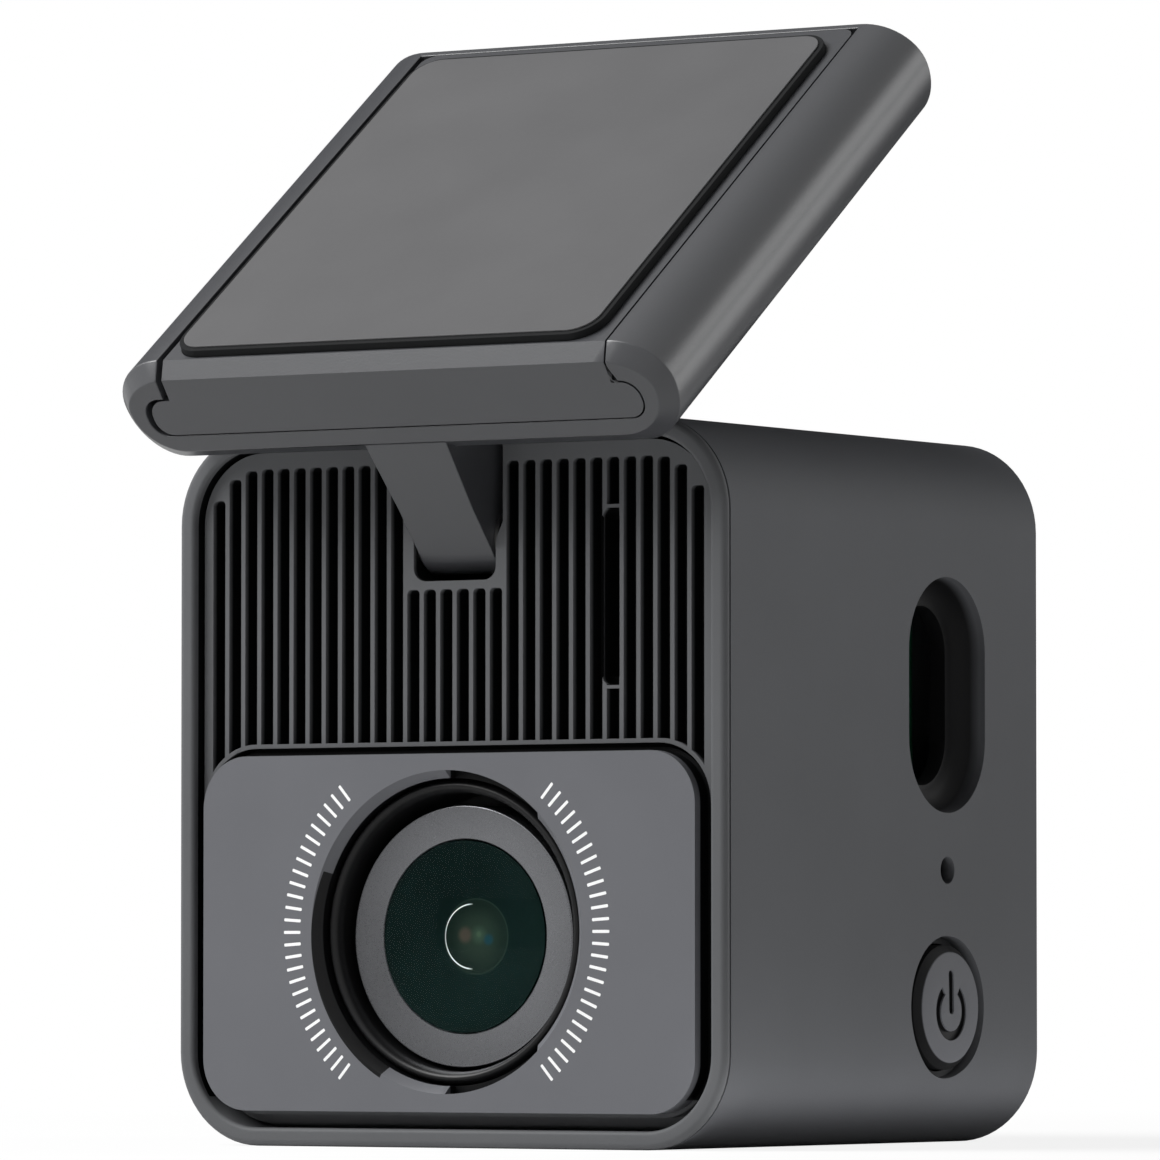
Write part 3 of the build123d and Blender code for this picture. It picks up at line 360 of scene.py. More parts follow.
def lacquered():
    """Satin lacquer on the lens plate's face and on the slope round its window, with painted shade that makes it
    dark deeper behind the face.
    """
    material, tree, shader = new_material("plate_lacquer", IOR=1.25)
    place, tint = grain(tree, shader, "#67686C", 0.03, 0.36, 0.04, 0.06, 0.0006)
    tint = shade_painted_by_depth(tree, place, tint, shader, 0.41, 0.5, "#0A0B0C")
    # Painted shade on the slope's left part, where it stands in the dark
    flat = lens_plane(tree, place)
    towards = vector_math(tree, "NORMALIZE", flat)
    dark = field_math(
        tree, "MULTIPLY",
        field_math(tree, "LESS_THAN", vector_math(tree, "LENGTH", flat), 10.5),
        field_math(tree, "GREATER_THAN", vector_math(tree, "DOT_PRODUCT", towards, (-0.948, 0, -0.317)), 0.737),
    )
    recoloured(tree, shader, dark, tint, "#111112")
    return material


def plain(name, colour, roughness, metallic=0.0, size_mm=0.3, height_mm=0.002, ior=1.5):
    """A plain technical surface, with a faint grain so that it isn't flat."""
    material, tree, shader = new_material(name, IOR=ior, Metallic=metallic)
    grain(tree, shader, colour, 0.05, roughness, 0.04, size_mm, height_mm)
    return material


def printed_ink():
    """White screen-print ink: matte, with slightly ragged cover."""
    material, tree, shader = new_material("printed_ink", IOR=1.5)
    grain(tree, shader, "#F2F2F2", 0.02, 0.6, 0.05, 0.05, 0.001)
    return material


def coated_glass(name="coated_glass"):
    """Optical glass with an anti-reflection coating, clear and without glare, and its tree and shader."""
    return new_material(
        name, Base_Color=linear("#C9E2DC"), Roughness=0.0, IOR=1.04, Transmission_Weight=1.0,
        Coat_Weight=0.08, Coat_Roughness=0.03, Coat_IOR=1.3,
    )


def front_glass():
    """Front lens: clear coated glass, with dark green paint and the coloured pupil on its back, the pupil's glints
    being painted reflections and a painted highlight.
    """
    material, tree, shader = coated_glass("front_glass")
    place = object_place(tree)
    flat = lens_plane(tree, place)
    radius = vector_math(tree, "LENGTH", flat)
    colour = blended(tree, ramped(tree, radius, 2.5, 2.38), linear("#111D1C"), "#1A2420")
    # Painted reflections in the pupil: where each glint is, in millimetres from the axis, how wide and which colour
    for x, z, reach, tint in (
        (0.1, 0, 2.2, "#2A352E"), (-0.85, 0.1, 0.7, "#4A3F38"), (0.2, 0.1, 0.8, "#35463A"),
        (0.95, -0.2, 0.5, "#173C48"), (0.2, 0.15, 0.3, "#3F5040"),
    ):
        away = vector_math(tree, "DISTANCE", flat, (x, 0, z))
        share = ramped(tree, away, reach, reach * 0.3, high=0.8, interpolation_type="SMOOTHSTEP")
        colour = blended(tree, share, colour, tint)
    # A painted highlight as a thin bright line left of the pupil, and a dim line round it
    left = ramped(tree, axes_of(tree, flat)["X"], -0.25, -0.6)
    highlight_radius = vector_math(tree, "DISTANCE", flat, (-0.3, 0, 0))
    for reach, middle, half, tint, share in (
        (highlight_radius, 2.1, 0.05, "#FFFFFF", left), (radius, 2.44, 0.07, "#26332E", 0.8),
    ):
        off_line = field_math(tree, "ABSOLUTE", field_math(tree, "SUBTRACT", reach, middle))
        line = field_math(tree, "MULTIPLY", ramped(tree, off_line, half, half / 3), share)
        colour = blended(tree, line, colour, tint)
    # Glass in front, and paint at the back
    front = ramped(tree, axes_of(tree, place)["Y"], (FRONT + 2.12) * MM, (FRONT + 2.08) * MM)
    recoloured(tree, shader, front, colour, "#E6F2EF")
    matte = add_node(tree, "ShaderNodeBsdfDiffuse", {"Color": colour})
    output = next(node for node in tree.nodes if node.type == "OUTPUT_MATERIAL")
    fill(tree, output, {"Surface": layered(tree, front, matte, shader)})
    return material


def solder_mask():
    """Green solder mask over copper tracks: glossy, with faint lines."""
    material, tree, shader = new_material("solder_mask", IOR=1.5, Roughness=0.3)
    tracks = add_node(
        tree, "ShaderNodeTexBrick",
        {"Vector": object_place(tree), "Scale": 1 / (3 * MM), "Color1": linear("#06291A"),
         "Color2": linear("#07301E"), "Mortar": linear("#0C3D27"), "Mortar Size": 0.03},
    )
    fill(tree, shader, {"Base Color": tracks})
    return material


# ---------------------------------------------------------------- mesh helpers


def new_object(name, verts, faces):
    """A mesh object from points in millimetres, standing at the origin."""
    mesh = bpy.data.meshes.new(name)
    mesh.from_pydata([Vector(v) * MM for v in verts], [], faces)
    mesh.validate()
    made = bpy.data.objects.new(name, mesh)
    bpy.context.scene.collection.objects.link(made)
    outward(made)
    return made


def outward(piece):
    """Welds a mesh and turns its faces outwards."""
    b = bmesh.new()
    b.from_mesh(piece.data)
    bmesh.ops.remove_doubles(b, verts=b.verts, dist=1e-7)
    bmesh.ops.recalc_face_normals(b, faces=b.faces)
    b.to_mesh(piece.data)
    b.free()


def baked(piece):
    """Applies a piece's modifiers, so that it is a plain mesh."""
    graph = bpy.context.evaluated_depsgraph_get()
    mesh = bpy.data.meshes.new_from_object(piece.evaluated_get(graph))
    piece.modifiers.clear()
    old = piece.data
    piece.data = mesh
    mesh.name = piece.name
    bpy.data.meshes.remove(old)


def combined(piece, tools, operation="DIFFERENCE"):
    """Cuts, joins or intersects a piece with other solids, which are used up."""
    for tool in tools:
        change = piece.modifiers.new("combine", "BOOLEAN")
        change.object = tool
        change.operation = operation
        change.solver = "EXACT"
    baked(piece)
    for tool in tools:
        bpy.data.objects.remove(tool)
    return piece


def finished(piece, edge=0.07, angle=32, segments=2):
    """Rounds a piece's sharp edges and gives it smooth, face-weighted normals."""
    b = bmesh.new()
    b.from_mesh(piece.data)
    bmesh.ops.remove_doubles(b, verts=b.verts, dist=2e-7)
    bmesh.ops.dissolve_degenerate(b, edges=b.edges, dist=1e-7)
    b.to_mesh(piece.data)
    b.free()
    if edge:
        rounding = piece.modifiers.new("edges", "BEVEL")
        rounding.width = edge * MM
        rounding.segments = segments
        rounding.limit_method = "ANGLE"
        rounding.angle_limit = math.radians(angle)
        rounding.use_clamp_overlap = True
        rounding.miter_outer = "MITER_ARC"
        baked(piece)
    piece.data.shade_smooth()
    piece.data.set_sharp_from_angle(angle=math.radians(40))
    weights = piece.modifiers.new("normals", "WEIGHTED_NORMAL")
    weights.keep_sharp = True
    baked(piece)


def dress(piece, body, slot, material, *nodes):
    """Gives a piece its material and body, and hides the CAD nodes that it stands for; the slot is not used."""
    piece.data.materials.clear()
    piece.data.materials.append(material)
    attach(piece, body)
    if nodes:
        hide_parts(*nodes)


def dress_nodes(material, *names):
    """Gives CAD nodes a finished material and leaves their meshes as they are."""
    for name in names:
        piece = frame["nodes"][name]
        piece.data.materials.clear()
        piece.data.materials.append(material)


def arc(middle, radius, start, sweep, steps, rise=None):
    """Points along an arc, from a start angle in degrees; with a rise, the arc is part of an ellipse."""
    points = []
    for step in range(steps + 1):
        angle = math.radians(start) + math.radians(sweep) * step / steps
        points.append((
            middle[0] + radius * math.cos(angle), middle[1] + (rise or radius) * math.sin(angle)
        ))
    return points


def mirrored(half):
    """A loop of points from its right half."""
    return half + [(-x, z) for x, z in reversed(half)]


def rounded_loop(width, height, radius, centre=(0.0, 0.0), segments=16):
    """Points of a rounded rectangle, anticlockwise from its lower right corner."""
    radius = min(radius, width / 2, height / 2)
    points = []
    for turn, (sx, sy) in enumerate(((1, -1), (1, 1), (-1, 1), (-1, -1))):
        middle = (centre[0] + sx * (width / 2 - radius), centre[1] + sy * (height / 2 - radius))
        points += arc(middle, radius, -90 + 90 * turn, 90, segments)
    return points


def stadium(length, width, centre, segments=16):
    """Points of an upright slot with round ends."""
    return rounded_loop(width, length, width / 2, centre, segments)


def lofted(name, loops, closed=False):
    """A skin over equal loops of 3-D points: capped at both ends, or closed into a ring."""
    count = len(loops[0])
    verts = [point for loop in loops for point in loop]
    faces = []
    for i in range(len(loops) if closed else len(loops) - 1):
        a, b = i * count, (i + 1) % len(loops) * count
        for j in range(count):
            k = (j + 1) % count
            faces.append((a + j, a + k, b + k, b + j))
    if not closed:
        faces.append(tuple(range(count)))
        faces.append(tuple(range((len(loops) - 1) * count, len(loops) * count)))
    return new_object(name, verts, faces)


def body_loop(inset, depth):
    """The body's outline, drawn in by an inset, at a depth behind the front face."""
    corner = bpy.context.scene.dash_body.corner - inset
    flat = rounded_loop(BODY_WIDTH - 2 * inset, BODY_HEIGHT - 2 * inset, corner, (0, BODY_HEIGHT / 2))
    return [(x, FRONT + depth, z) for x, z in flat]


def plate_loop(margin):
    """The lens plate's outline in the front view, grown by a margin."""
    width, height = PLATE_HIGH.x - PLATE_LOW.x, PLATE_HIGH.z - PLATE_LOW.z
    centre = (0, (PLATE_LOW.z + PLATE_HIGH.z) / 2)
    return rounded_loop(width + 2 * margin, height + 2 * margin, PLATE_RADIUS + margin, centre)


def front_solid(name, loop, near, far):
    """A solid pushed back from a flat outline in the front view, between two depths."""
    return lofted(name, [[(x, FRONT + depth, z) for x, z in loop] for depth in (near, far)])


def side_solid(name, loop, low, high):
    """A solid pushed along X from a flat outline in the side view."""
    return lofted(name, [[(x, y, z) for y, z in loop] for x in (low, high)])


def lathed(name, profile, centre, axis="Y", segments=128):
    """A solid turned about a line through a point, from (radius, place along the line) points."""
    loops = []
    for radius, place in profile:
        circle = arc((0, 0), radius, 0, 360, segments)[:-1]
        if axis == "Y":
            loops.append([(centre[0] + u, place, centre[2] + v) for u, v in circle])
        else:
            loops.append([(place, centre[1] + u, centre[2] + v) for u, v in circle])
    return lofted(name, loops, closed=True)


def turned(name, profile, centre, axis="Y", segments=128):
    """A lathed solid whose two ends are flat and reach to the axis."""
    ends = (AXIS, profile[0][1]), (AXIS, profile[-1][1])
    return lathed(name, [ends[0], *profile, ends[1]], centre, axis, segments)


# ---------------------------------------------------------------- operators


class DASHCAM_OT_housing(bpy.types.Operator):
    """Make the sleeve and the front frame, and finish the rear cover"""

    bl_idname = "dashcam.housing"
    bl_label = "Housing"

    def execute(self, context):
        sizes, material = context.scene.dash_body, sleeve_abs()
        self.sleeve(sizes, material)
        self.frame(sizes)
        dress_nodes(material, "rear_cover")
        return {"FINISHED"}

    def sleeve(self, sizes, material):
        near, far = SLEEVE_LOW.y - FRONT, SLEEVE_HIGH.y - FRONT
        lap, lap_end = 0.6, FRAME_HIGH.y - FRONT + 0.05
        boss_length, boss_width, boss_depth = 18.0, 12.27, 3.2
        profile = [(0, near), (0, far), (sizes.wall, far), (sizes.wall, lap_end), (lap, lap_end), (lap, near)]
        piece = lofted("sleeve_skin", [body_loop(i, d) for i, d in profile], closed=True)
        outline = stadium(boss_length, boss_width, PORT)
        combined(piece, [side_solid("boss", outline, SIDE - boss_depth, SIDE - sizes.wall / 2)], "UNION")
        combined(piece, [self.port_tool(), self.button_tool(), self.mic_tool(), self.notch_tool(sizes.notch)])
        finished(piece, sizes.edge)
        dress(piece, "camera", "sleeve_abs", material, "housing_sleeve")

    def port_tool(self):
        """The coved charging recess, with its smaller opening through the floor."""
        length, width, depth, inset, cove = 15.6, 9.87, 2.0, 1.85, 1.6
        floor = SIDE - depth
        steps = [(0.0, SIDE + 1)] + arc((cove, floor + cove), cove, 180, 90, 8)
        steps += [(inset, floor), (inset, floor - depth - 2)]
        loops = []
        for drawn_in, x in steps:
            loop = stadium(length - 2 * drawn_in, width - 2 * drawn_in, PORT)
            loops.append([(x, y, z) for y, z in loop])
        return lofted("port_tool", loops)

    def button_tool(self):
        """The button's hole with its shallow sloping rim."""
        radius, rim, slope, rim_depth = 4.22, 0.5, 0.1, 0.9
        return turned("button_tool", [
            (radius, SIDE - 4), (radius, SIDE - rim_depth), (radius + rim - slope, SIDE - rim_depth),
            (radius + rim, SIDE), (radius + rim, SIDE + 1),
        ], BUTTON, "X")

    def mic_tool(self):
        """The microphone's round hole."""
        radius = 0.9
        return turned("mic_tool", [(radius, x) for x in (SIDE - 4, SIDE, SIDE + 1)], MIC, "X", 48)

    def notch_tool(self, half):
        """The slot in the top wall that the mount's arm swings in."""
        depth, corner = 7.6, 0.9
        loop = rounded_loop(2 * half, depth + 4, corner, (0, FRONT + depth / 2 - 2), 8)
        return lofted("notch_tool", [
            [(x, y, z) for x, y in loop] for z in (BODY_HEIGHT - 3.2, BODY_HEIGHT + 1)
        ])

    def frame(self, sizes):
        """The front frame: a rail round the face, a band, the parting groove and a skirt inside the sleeve."""
        rail, band, parting = sizes.rail, sizes.band, sizes.parting
        outer, inner = sizes.front_edge, sizes.inner_edge
        skirt_near, skirt_far = SLEEVE_LOW.y - FRONT, FRAME_HIGH.y - FRONT
        skirt_outer, skirt_inner = 0.65, rail + 1.6
        profile = [(0, band)] + arc((outer, outer), outer, 180, 90, 8)
        profile += arc((rail - inner, inner), inner, 270, 90, 6)
        profile += [
            (rail, COVER_BACK), (skirt_inner, COVER_BACK), (skirt_inner, skirt_far), (skirt_outer, skirt_far),
            (skirt_outer, skirt_near), (parting, skirt_near), (parting, band),
        ]
        piece = lofted("front_rail", [body_loop(i, d) for i, d in profile], closed=True)
        notch = rounded_loop(2 * sizes.notch, 20, 0.5, (0, BODY_HEIGHT + 2.5), 4)
        combined(piece, [front_solid("notch", notch, -2, 8)])
        finished(piece, 0.04, 50)
        dress(piece, "camera", "frame_abs", frame_abs(), "front_frame")


def new_tree(name, **inputs):
    """A node tree that takes and returns geometry, with further named inputs, and the sockets it is given."""
    tree = bpy.data.node_groups.new(name, "GeometryNodeTree")
    for socket, kind in {"Geometry": "Geometry", **inputs}.items():
        tree.interface.new_socket(socket, in_out="INPUT", socket_type="NodeSocket" + kind)
    tree.interface.new_socket("Geometry", in_out="OUTPUT", socket_type="NodeSocketGeometry")
    return tree, tree.nodes.new("NodeGroupInput").outputs


def grille_tree():
    """A node tree that cuts a row of grooves, each with its own upper end, into a slab."""
    tree, given = new_tree(
        "upright_grooves", Grooves="Int", Pitch="Float", Top="Float", Sill="Float", Corner="Float",
        Half="Float", Notch="Float", Groove="Object", Field="Object", Finish="Material",
    )
    calc = partial(field_math, tree)
    pitch, top, corner = given["Pitch"], given["Top"], given["Corner"]
    # One point for each groove
    span = calc("SUBTRACT", given["Grooves"], 1.0)
    start = calc("MULTIPLY", calc("MULTIPLY", span, -0.5), pitch)
    row = add_node(
        tree, "GeometryNodeMeshLine",
        {"Count": given["Grooves"], "Start Location": vector_of(tree, X=start), "Offset": vector_of(tree, X=pitch)},
        mode="OFFSET",
    )
    # Height of each groove's end: straight, along the round corner, or under the notch
    place = add_node(tree, "GeometryNodeInputPosition").outputs[0]
    away = calc("ABSOLUTE", axes_of(tree, place)["X"])
    past = calc("MAXIMUM", calc("ADD", calc("SUBTRACT", away, given["Half"]), corner), 0.0)
    square = calc("SUBTRACT", calc("POWER", corner, 2.0), calc("POWER", past, 2.0))
    drop = calc("SUBTRACT", corner, calc("SQRT", square))
    short = calc("LESS_THAN", away, given["Notch"])
    less = calc("MULTIPLY", short, calc("SUBTRACT", top, given["Sill"]))
    height = calc("SUBTRACT", calc("SUBTRACT", top, drop), less)
    raised = add_node(
        tree, "GeometryNodeSetPosition", {"Geometry": row, "Offset": vector_of(tree, Z=height)}
    )
    # The grooves themselves, kept inside the field
    tool, field = (
        add_node(tree, "GeometryNodeObjectInfo", {"Object": given[name]}, transform_space="ORIGINAL")
        for name in ("Groove", "Field")
    )
    copies = add_node(
        tree, "GeometryNodeInstanceOnPoints",
        {"Points": raised, "Instance": tool.outputs["Geometry"]},
    )
    real = add_node(tree, "GeometryNodeRealizeInstances", {"Geometry": copies})
    inside = add_node(tree, "GeometryNodeMeshBoolean", operation="INTERSECT", solver="EXACT")
    for solid in (real, field):
        tree.links.new(solid.outputs["Geometry"], inside.inputs["Mesh 2"])
    cut = add_node(
        tree, "GeometryNodeMeshBoolean", {"Mesh 1": given["Geometry"], "Mesh 2": inside},
        operation="DIFFERENCE", solver="EXACT",
    )
    close_tree(tree, cut, given["Finish"])
    return tree


def scale_tree():
    """A node tree that prints two arcs of ticks, left and right of the lens."""
    tree, given = new_tree(
        "printed_scale", Ticks="Int", Radius="Float", Sweep="Float", Middle="Vector", Finish="Material"
    )
    calc = partial(field_math, tree)
    both = add_node(tree, "GeometryNodeJoinGeometry")
    gaps = calc("SUBTRACT", given["Ticks"], 1.0)
    index = add_node(tree, "GeometryNodeInputIndex").outputs[0]
    part = calc("SUBTRACT", calc("DIVIDE", index, gaps), 0.5)
    for middle in (0.0, math.pi):
        angle = calc("ADD", calc("MULTIPLY", part, given["Sweep"]), middle)
        reach = vector_of(
            tree, X=calc("MULTIPLY", calc("COSINE", angle), given["Radius"]),
            Z=calc("MULTIPLY", calc("SINE", angle), given["Radius"]),
        )
        row = add_node(tree, "GeometryNodeMeshLine", {"Count": given["Ticks"]})
        placed = add_node(
            tree, "GeometryNodeSetPosition",
            {"Geometry": row, "Position": vector_math(tree, "ADD", reach, given["Middle"])},
        )
        turn = vector_of(tree, Y=calc("MULTIPLY", angle, -1.0))
        copies = add_node(
            tree, "GeometryNodeInstanceOnPoints",
            {"Points": placed, "Instance": given["Geometry"], "Rotation": turn},
        )
        tree.links.new(copies.outputs["Instances"], both.inputs["Geometry"])
    close_tree(tree, both, given["Finish"])
    return tree


def close_tree(tree, geometry, finish):
    """Ends a node tree: real geometry, with its material."""
    real = add_node(tree, "GeometryNodeRealizeInstances", {"Geometry": geometry})
    dressed = add_node(tree, "GeometryNodeSetMaterial", {"Geometry": real, "Material": finish})
    add_node(tree, "NodeGroupOutput", {"Geometry": dressed})


def use_tree(piece, tree, **values):
    """Runs a node tree on a piece and keeps the result as a plain mesh."""
    change = piece.modifiers.new(tree.name, "NODES")
    change.node_group = tree
    for item in tree.interface.items_tree:
        if item.in_out == "INPUT" and item.name in values:
            change[item.identifier] = values[item.name]
    baked(piece)


class DASHCAM_OT_grille(bpy.types.Operator):
    """Make the ribbed front cover, with its notch and its memory card slot"""

    bl_idname = "dashcam.grille"
    bl_label = "Ribbed cover"

    def execute(self, context):
        sizes = context.scene.dash_grille
        face = sizes.face
        back = face + sizes.thickness
        inset = BODY_WIDTH / 2 - COVER_HIGH.x
        piece = lofted("ribbed_face", [body_loop(inset, face), body_loop(inset, back)])
        # Channel round the lens plate, and the platform it stands on
        channel_floor, channel_gap, platform, platform_margin = 2.3, 0.52, PLATE_HIGH.y - FRONT, 0.25
        around = front_solid("around", plate_loop(channel_gap), face - 1, channel_floor)
        combined(piece, [self.lower(face - 1, channel_floor), around])
        combined(piece, [front_solid("seat", plate_loop(platform_margin), platform, back - 0.2)], "UNION")
        groove, field, ribbed = self.groove(sizes, face), self.field(sizes, face), ribbed_abs()
        use_tree(
            piece, grille_tree(),
            Grooves=sizes.count, Pitch=sizes.pitch * MM, Top=sizes.top * MM, Sill=sizes.sill * MM,
            Corner=sizes.corner * MM, Half=(sizes.pitch * sizes.count - sizes.rib) / 2 * MM,
            Notch=sizes.notch * MM, Groove=groove, Field=field, Finish=ribbed,
        )
        bpy.data.objects.remove(groove)
        bpy.data.objects.remove(field)
        slot = front_solid("slot", stadium(CARD_SLOT_LENGTH, CARD_SLOT_WIDTH, CARD), face - 1, back + 1)
        window = turned("window", [(SLOPE_RADIUS, FRONT + y) for y in (-3, back + 1)], WINDOW, segments=96)
        combined(piece, [slot, window, self.notch(face, back)])
        finished(piece, 0.05, 30)
        dress(piece, "camera", "cover_abs", ribbed, "ribbed_cover")
        return {"FINISHED"}

    def lower(self, near, far):
        """A solid over everything below the lens plate's upper corners."""
        high = PLATE_HIGH.z - PLATE_RADIUS
        return front_solid("lower", [(-30, high - 50), (30, high - 50), (30, high), (-30, high)], near, far)

    def groove(self, sizes, face):
        """One long groove as a solid, wider at its mouth, that ends at height 0 with rounded corners."""
        long, loops = 40, []
        for depth in (face - 0.5, face, face + sizes.depth):
            less = max(0, depth - face) * math.tan(sizes.draft)
            half = (sizes.pitch - sizes.rib) / 2 - less
            loop = rounded_loop(2 * half, long, sizes.end, (0, -long / 2 - less), 4)
            loops.append([(x, FRONT + depth, z) for x, z in loop])
        return lofted("groove_tool", loops)

    def field(self, sizes, face):
        """The area that the grooves may fill: clear of the lens plate and of the card slot's ends."""
        near, far = face - 1, face + sizes.depth + 0.2
        half, low, high = 30, 10, 60
        bridge_height, from_card = 0.22, 5.82
        area = front_solid("field", [(-half, low), (half, low), (half, high), (-half, high)], near, far)
        tools = [front_solid("lip", plate_loop(sizes.lip), near - 1, far + 1), self.lower(near - 1, far + 1)]
        for sign in (-1, 1):
            place = (CARD[0] + sizes.rib / 2, CARD[1] + sign * from_card)
            bridge = rounded_loop(CARD_SLOT_WIDTH, bridge_height, 0.05, place, 2)
            tools.append(front_solid("bridge", bridge, near - 1, far + 1))
        return combined(area, tools)

    def notch(self, face, back):
        """The hinge notch: narrow round the arm's barrel, wider above it."""
        low, shoulder, rise, half, corner = 36.8, 39.36, 1.2, 3.2, 0.9
        wide = bpy.context.scene.dash_body.notch
        right = arc((half - corner, low + corner), corner, 270, 90, 6)
        right += [(half, shoulder), (wide, shoulder + rise), (wide, 60)]
        return front_solid("notch", mirrored(right), face - 2, back + 1)


class DASHCAM_OT_lens_plate(bpy.types.Operator):
    """Make the lens plate and its printed scale"""

    bl_idname = "dashcam.lens_plate"
    bl_label = "Lens plate"

    def execute(self, context):
        near, far, slope = PLATE_LOW.y - FRONT, PLATE_HIGH.y - FRONT, 0.6
        piece = front_solid("lens_panel", plate_loop(0), near, far)
        # The slope runs on in front of the face, so that the cut is clean
        wide = SLOPE_RADIUS + (SLOPE_RADIUS - WINDOW_RADIUS) / slope
        profile = ((wide, near - 1), (WINDOW_RADIUS, near + slope), (WINDOW_RADIUS, far + 1))
        window = turned("window", [(radius, FRONT + depth) for radius, depth in profile], WINDOW)
        combined(piece, [window] + [self.lead(sign, near) for sign in (1, -1)])
        finished(piece, 0.07, 32, 3)
        dress(piece, "camera", "plate_lacquer", lacquered(), "lens_plate")
        self.scale(context.scene.dash_scale, near)
        return {"FINISHED"}

    def lead(self, sign, near):
        """A twist-lock lead, cut through the slope at the window's top or bottom."""
        loop = [(0.0, 0.0)] + arc((0, 0), SLOPE_RADIUS, 90, -43, 12)
        return front_solid("lead", [(x, WINDOW[2] + sign * z) for x, z in loop], near - 1, near + 1.2)

    def scale(self, sizes, near):
        """The printed ticks: each one lies in the plate's face and stands a hair proud of it."""
        sunk, proud, ink = 0.004, 0.008, printed_ink()
        loop = rounded_loop(sizes.length, sizes.width, 0.06, (0, 0), 3)
        tick = lofted("printed_scale", [[(x, y, z) for x, z in loop] for y in (-proud, sunk)])
        use_tree(
            tick, scale_tree(), Ticks=sizes.count, Radius=sizes.radius * MM, Sweep=sizes.sweep,
            Middle=Vector((0, FRONT + near, WINDOW[2])) * MM, Finish=ink,
        )
        outward(tick)
        dress(tick, "camera", "plate_lacquer", ink)


class DASHCAM_OT_lens(bpy.types.Operator):
    """Make the lens shroud, the lens ring and the glass"""

    bl_idname = "dashcam.lens"
    bl_label = "Lens"

    def execute(self, context):
        self.shroud()
        self.ring()
        self.glass()
        dress_nodes(coated_glass()[0], "inner_lens", "rear_lens", "ir_filter")
        dress_nodes(plain("spacer_black", "#15211F", 0.6, ior=1.1), "lens_spacer")
        dress_nodes(plain("barrel_anodised", "#101112", 0.4, 0.6), "lens_barrel")
        return {"FINISHED"}

    def shroud(self):
        """The black funnel round the lens, with a rounded lip in the window and a flange behind."""
        mouth, end, depth, lip, length, flange, inside_flange = 9.93, 9.05, 6.2, 0.7, 0.9, 0.96, 0.37
        rounding = arc(((mouth + end) / 2, lip + length), (mouth - end) / 2, 180, 180, 16, rise=length)
        profile = [(end, depth)] + rounding + [
            (mouth, COVER_BACK), (mouth + flange, COVER_BACK), (mouth + flange, COVER_BACK + 1),
            (mouth + inside_flange, COVER_BACK + 1), (mouth + inside_flange, depth),
        ]
        piece = lathed("shroud_funnel", [(radius, FRONT + place) for radius, place in profile], WINDOW)
        finished(piece, 0.03, 40)
        gloss = plain("shroud_polycarbonate", "#121213", 0.38, size_mm=0.2, height_mm=0.0005, ior=1.3)
        dress(piece, "camera", "shroud_pc", gloss, "lens_shroud")

    def glass(self):
        """The front lens, with a shallow cone behind that leads to the pupil."""
        edge, near, back = GLASS_HIGH.x, GLASS_LOW.y, GLASS_HIGH.y - 0.03
        bulge, rim, pupil, steps = 0.7, 0.1, 2.5, 12
        dome = (edge**2 + bulge**2) / (2 * bulge)
        profile = [(AXIS, near)]
        for step in range(1, steps + 1):
            radius = edge * step / steps
            profile.append((radius, near + dome - math.sqrt(dome**2 - radius**2)))
        profile += [(edge, near + bulge + rim), (pupil, back), (AXIS, back)]
        piece = lathed("front_glass", profile, LENS)
        finished(piece, 0, 40)
        dress(piece, "camera", "coated_glass", front_glass(), "front_lens")

    def ring(self):
        """The blasted ring, slightly dished so that it shades softly round its face."""
        outer, bore, seat, front, back = RING_HIGH.x, 6.3, 7.65, RING_LOW.y, RING_HIGH.y
        dish, step = 0.2, 1.0
        piece = lathed("lens_bezel", [
            (bore, front + step), (bore, front + dish + 0.08), (bore + 0.07, front + dish), (outer - 0.15, front),
            (outer - 0.05, front + 0.04), (outer, front + 0.15), (outer, back), (seat, back), (seat, front + step),
        ], LENS)
        finished(piece, 0, 40)
        alloy = plain("ring_anodised", "#737477", 0.28, 0.8, 0.08, 0.002)
        dress(piece, "camera", "ring_anodised", alloy, "lens_ring")


class DASHCAM_OT_button(bpy.types.Operator):
    """Make the power button with its engraved sign"""

    bl_idname = "dashcam.button"
    bl_label = "Power button"

    def execute(self, context):
        low, top = BUTTON_LOW.x, BUTTON_HIGH.x
        stem, flange, cap, face = 1.6, 4.57, 4.12, 3.62
        flange_low, flange_high = SIDE - 2.55, SIDE - 1.65
        piece = lathed("power_cap", [
            (AXIS, low), (stem, low), (stem, flange_low), (flange, flange_low), (flange, flange_high),
            (cap, flange_high), (cap, SIDE - 0.25),
            # The face is a little domed
            (face, top - 0.1), (2.6, top - 0.06), (1.4, top - 0.02), (AXIS, top),
        ], BUTTON, "X", 96)
        combined(piece, self.sign(top))
        finished(piece, 0.05, 25, 3)
        dress(piece, "button", "button_abs", button_abs(), "power_button")
        return {"FINISHED"}

    def sign(self, top):
        """Solids that cut the stand-by sign: a bar over an open ring."""
        radius, stroke, gap, bar, steps, engraved = 1.64, 0.62, 35, 2.9, 28, 0.3
        middle = (PORT_Y, BUTTON[2] - 0.25)
        outer, inner = (
            arc(middle, radius + side * stroke / 2, 90 + gap, 360 - 2 * gap, steps) for side in (1, -1)
        )
        bar_loop = stadium(bar, stroke, (PORT_Y, middle[1] + 1.25), 6)
        return [
            side_solid("sign", loop, top - engraved, top + 1) for loop in (outer + inner[::-1], bar_loop)
        ]


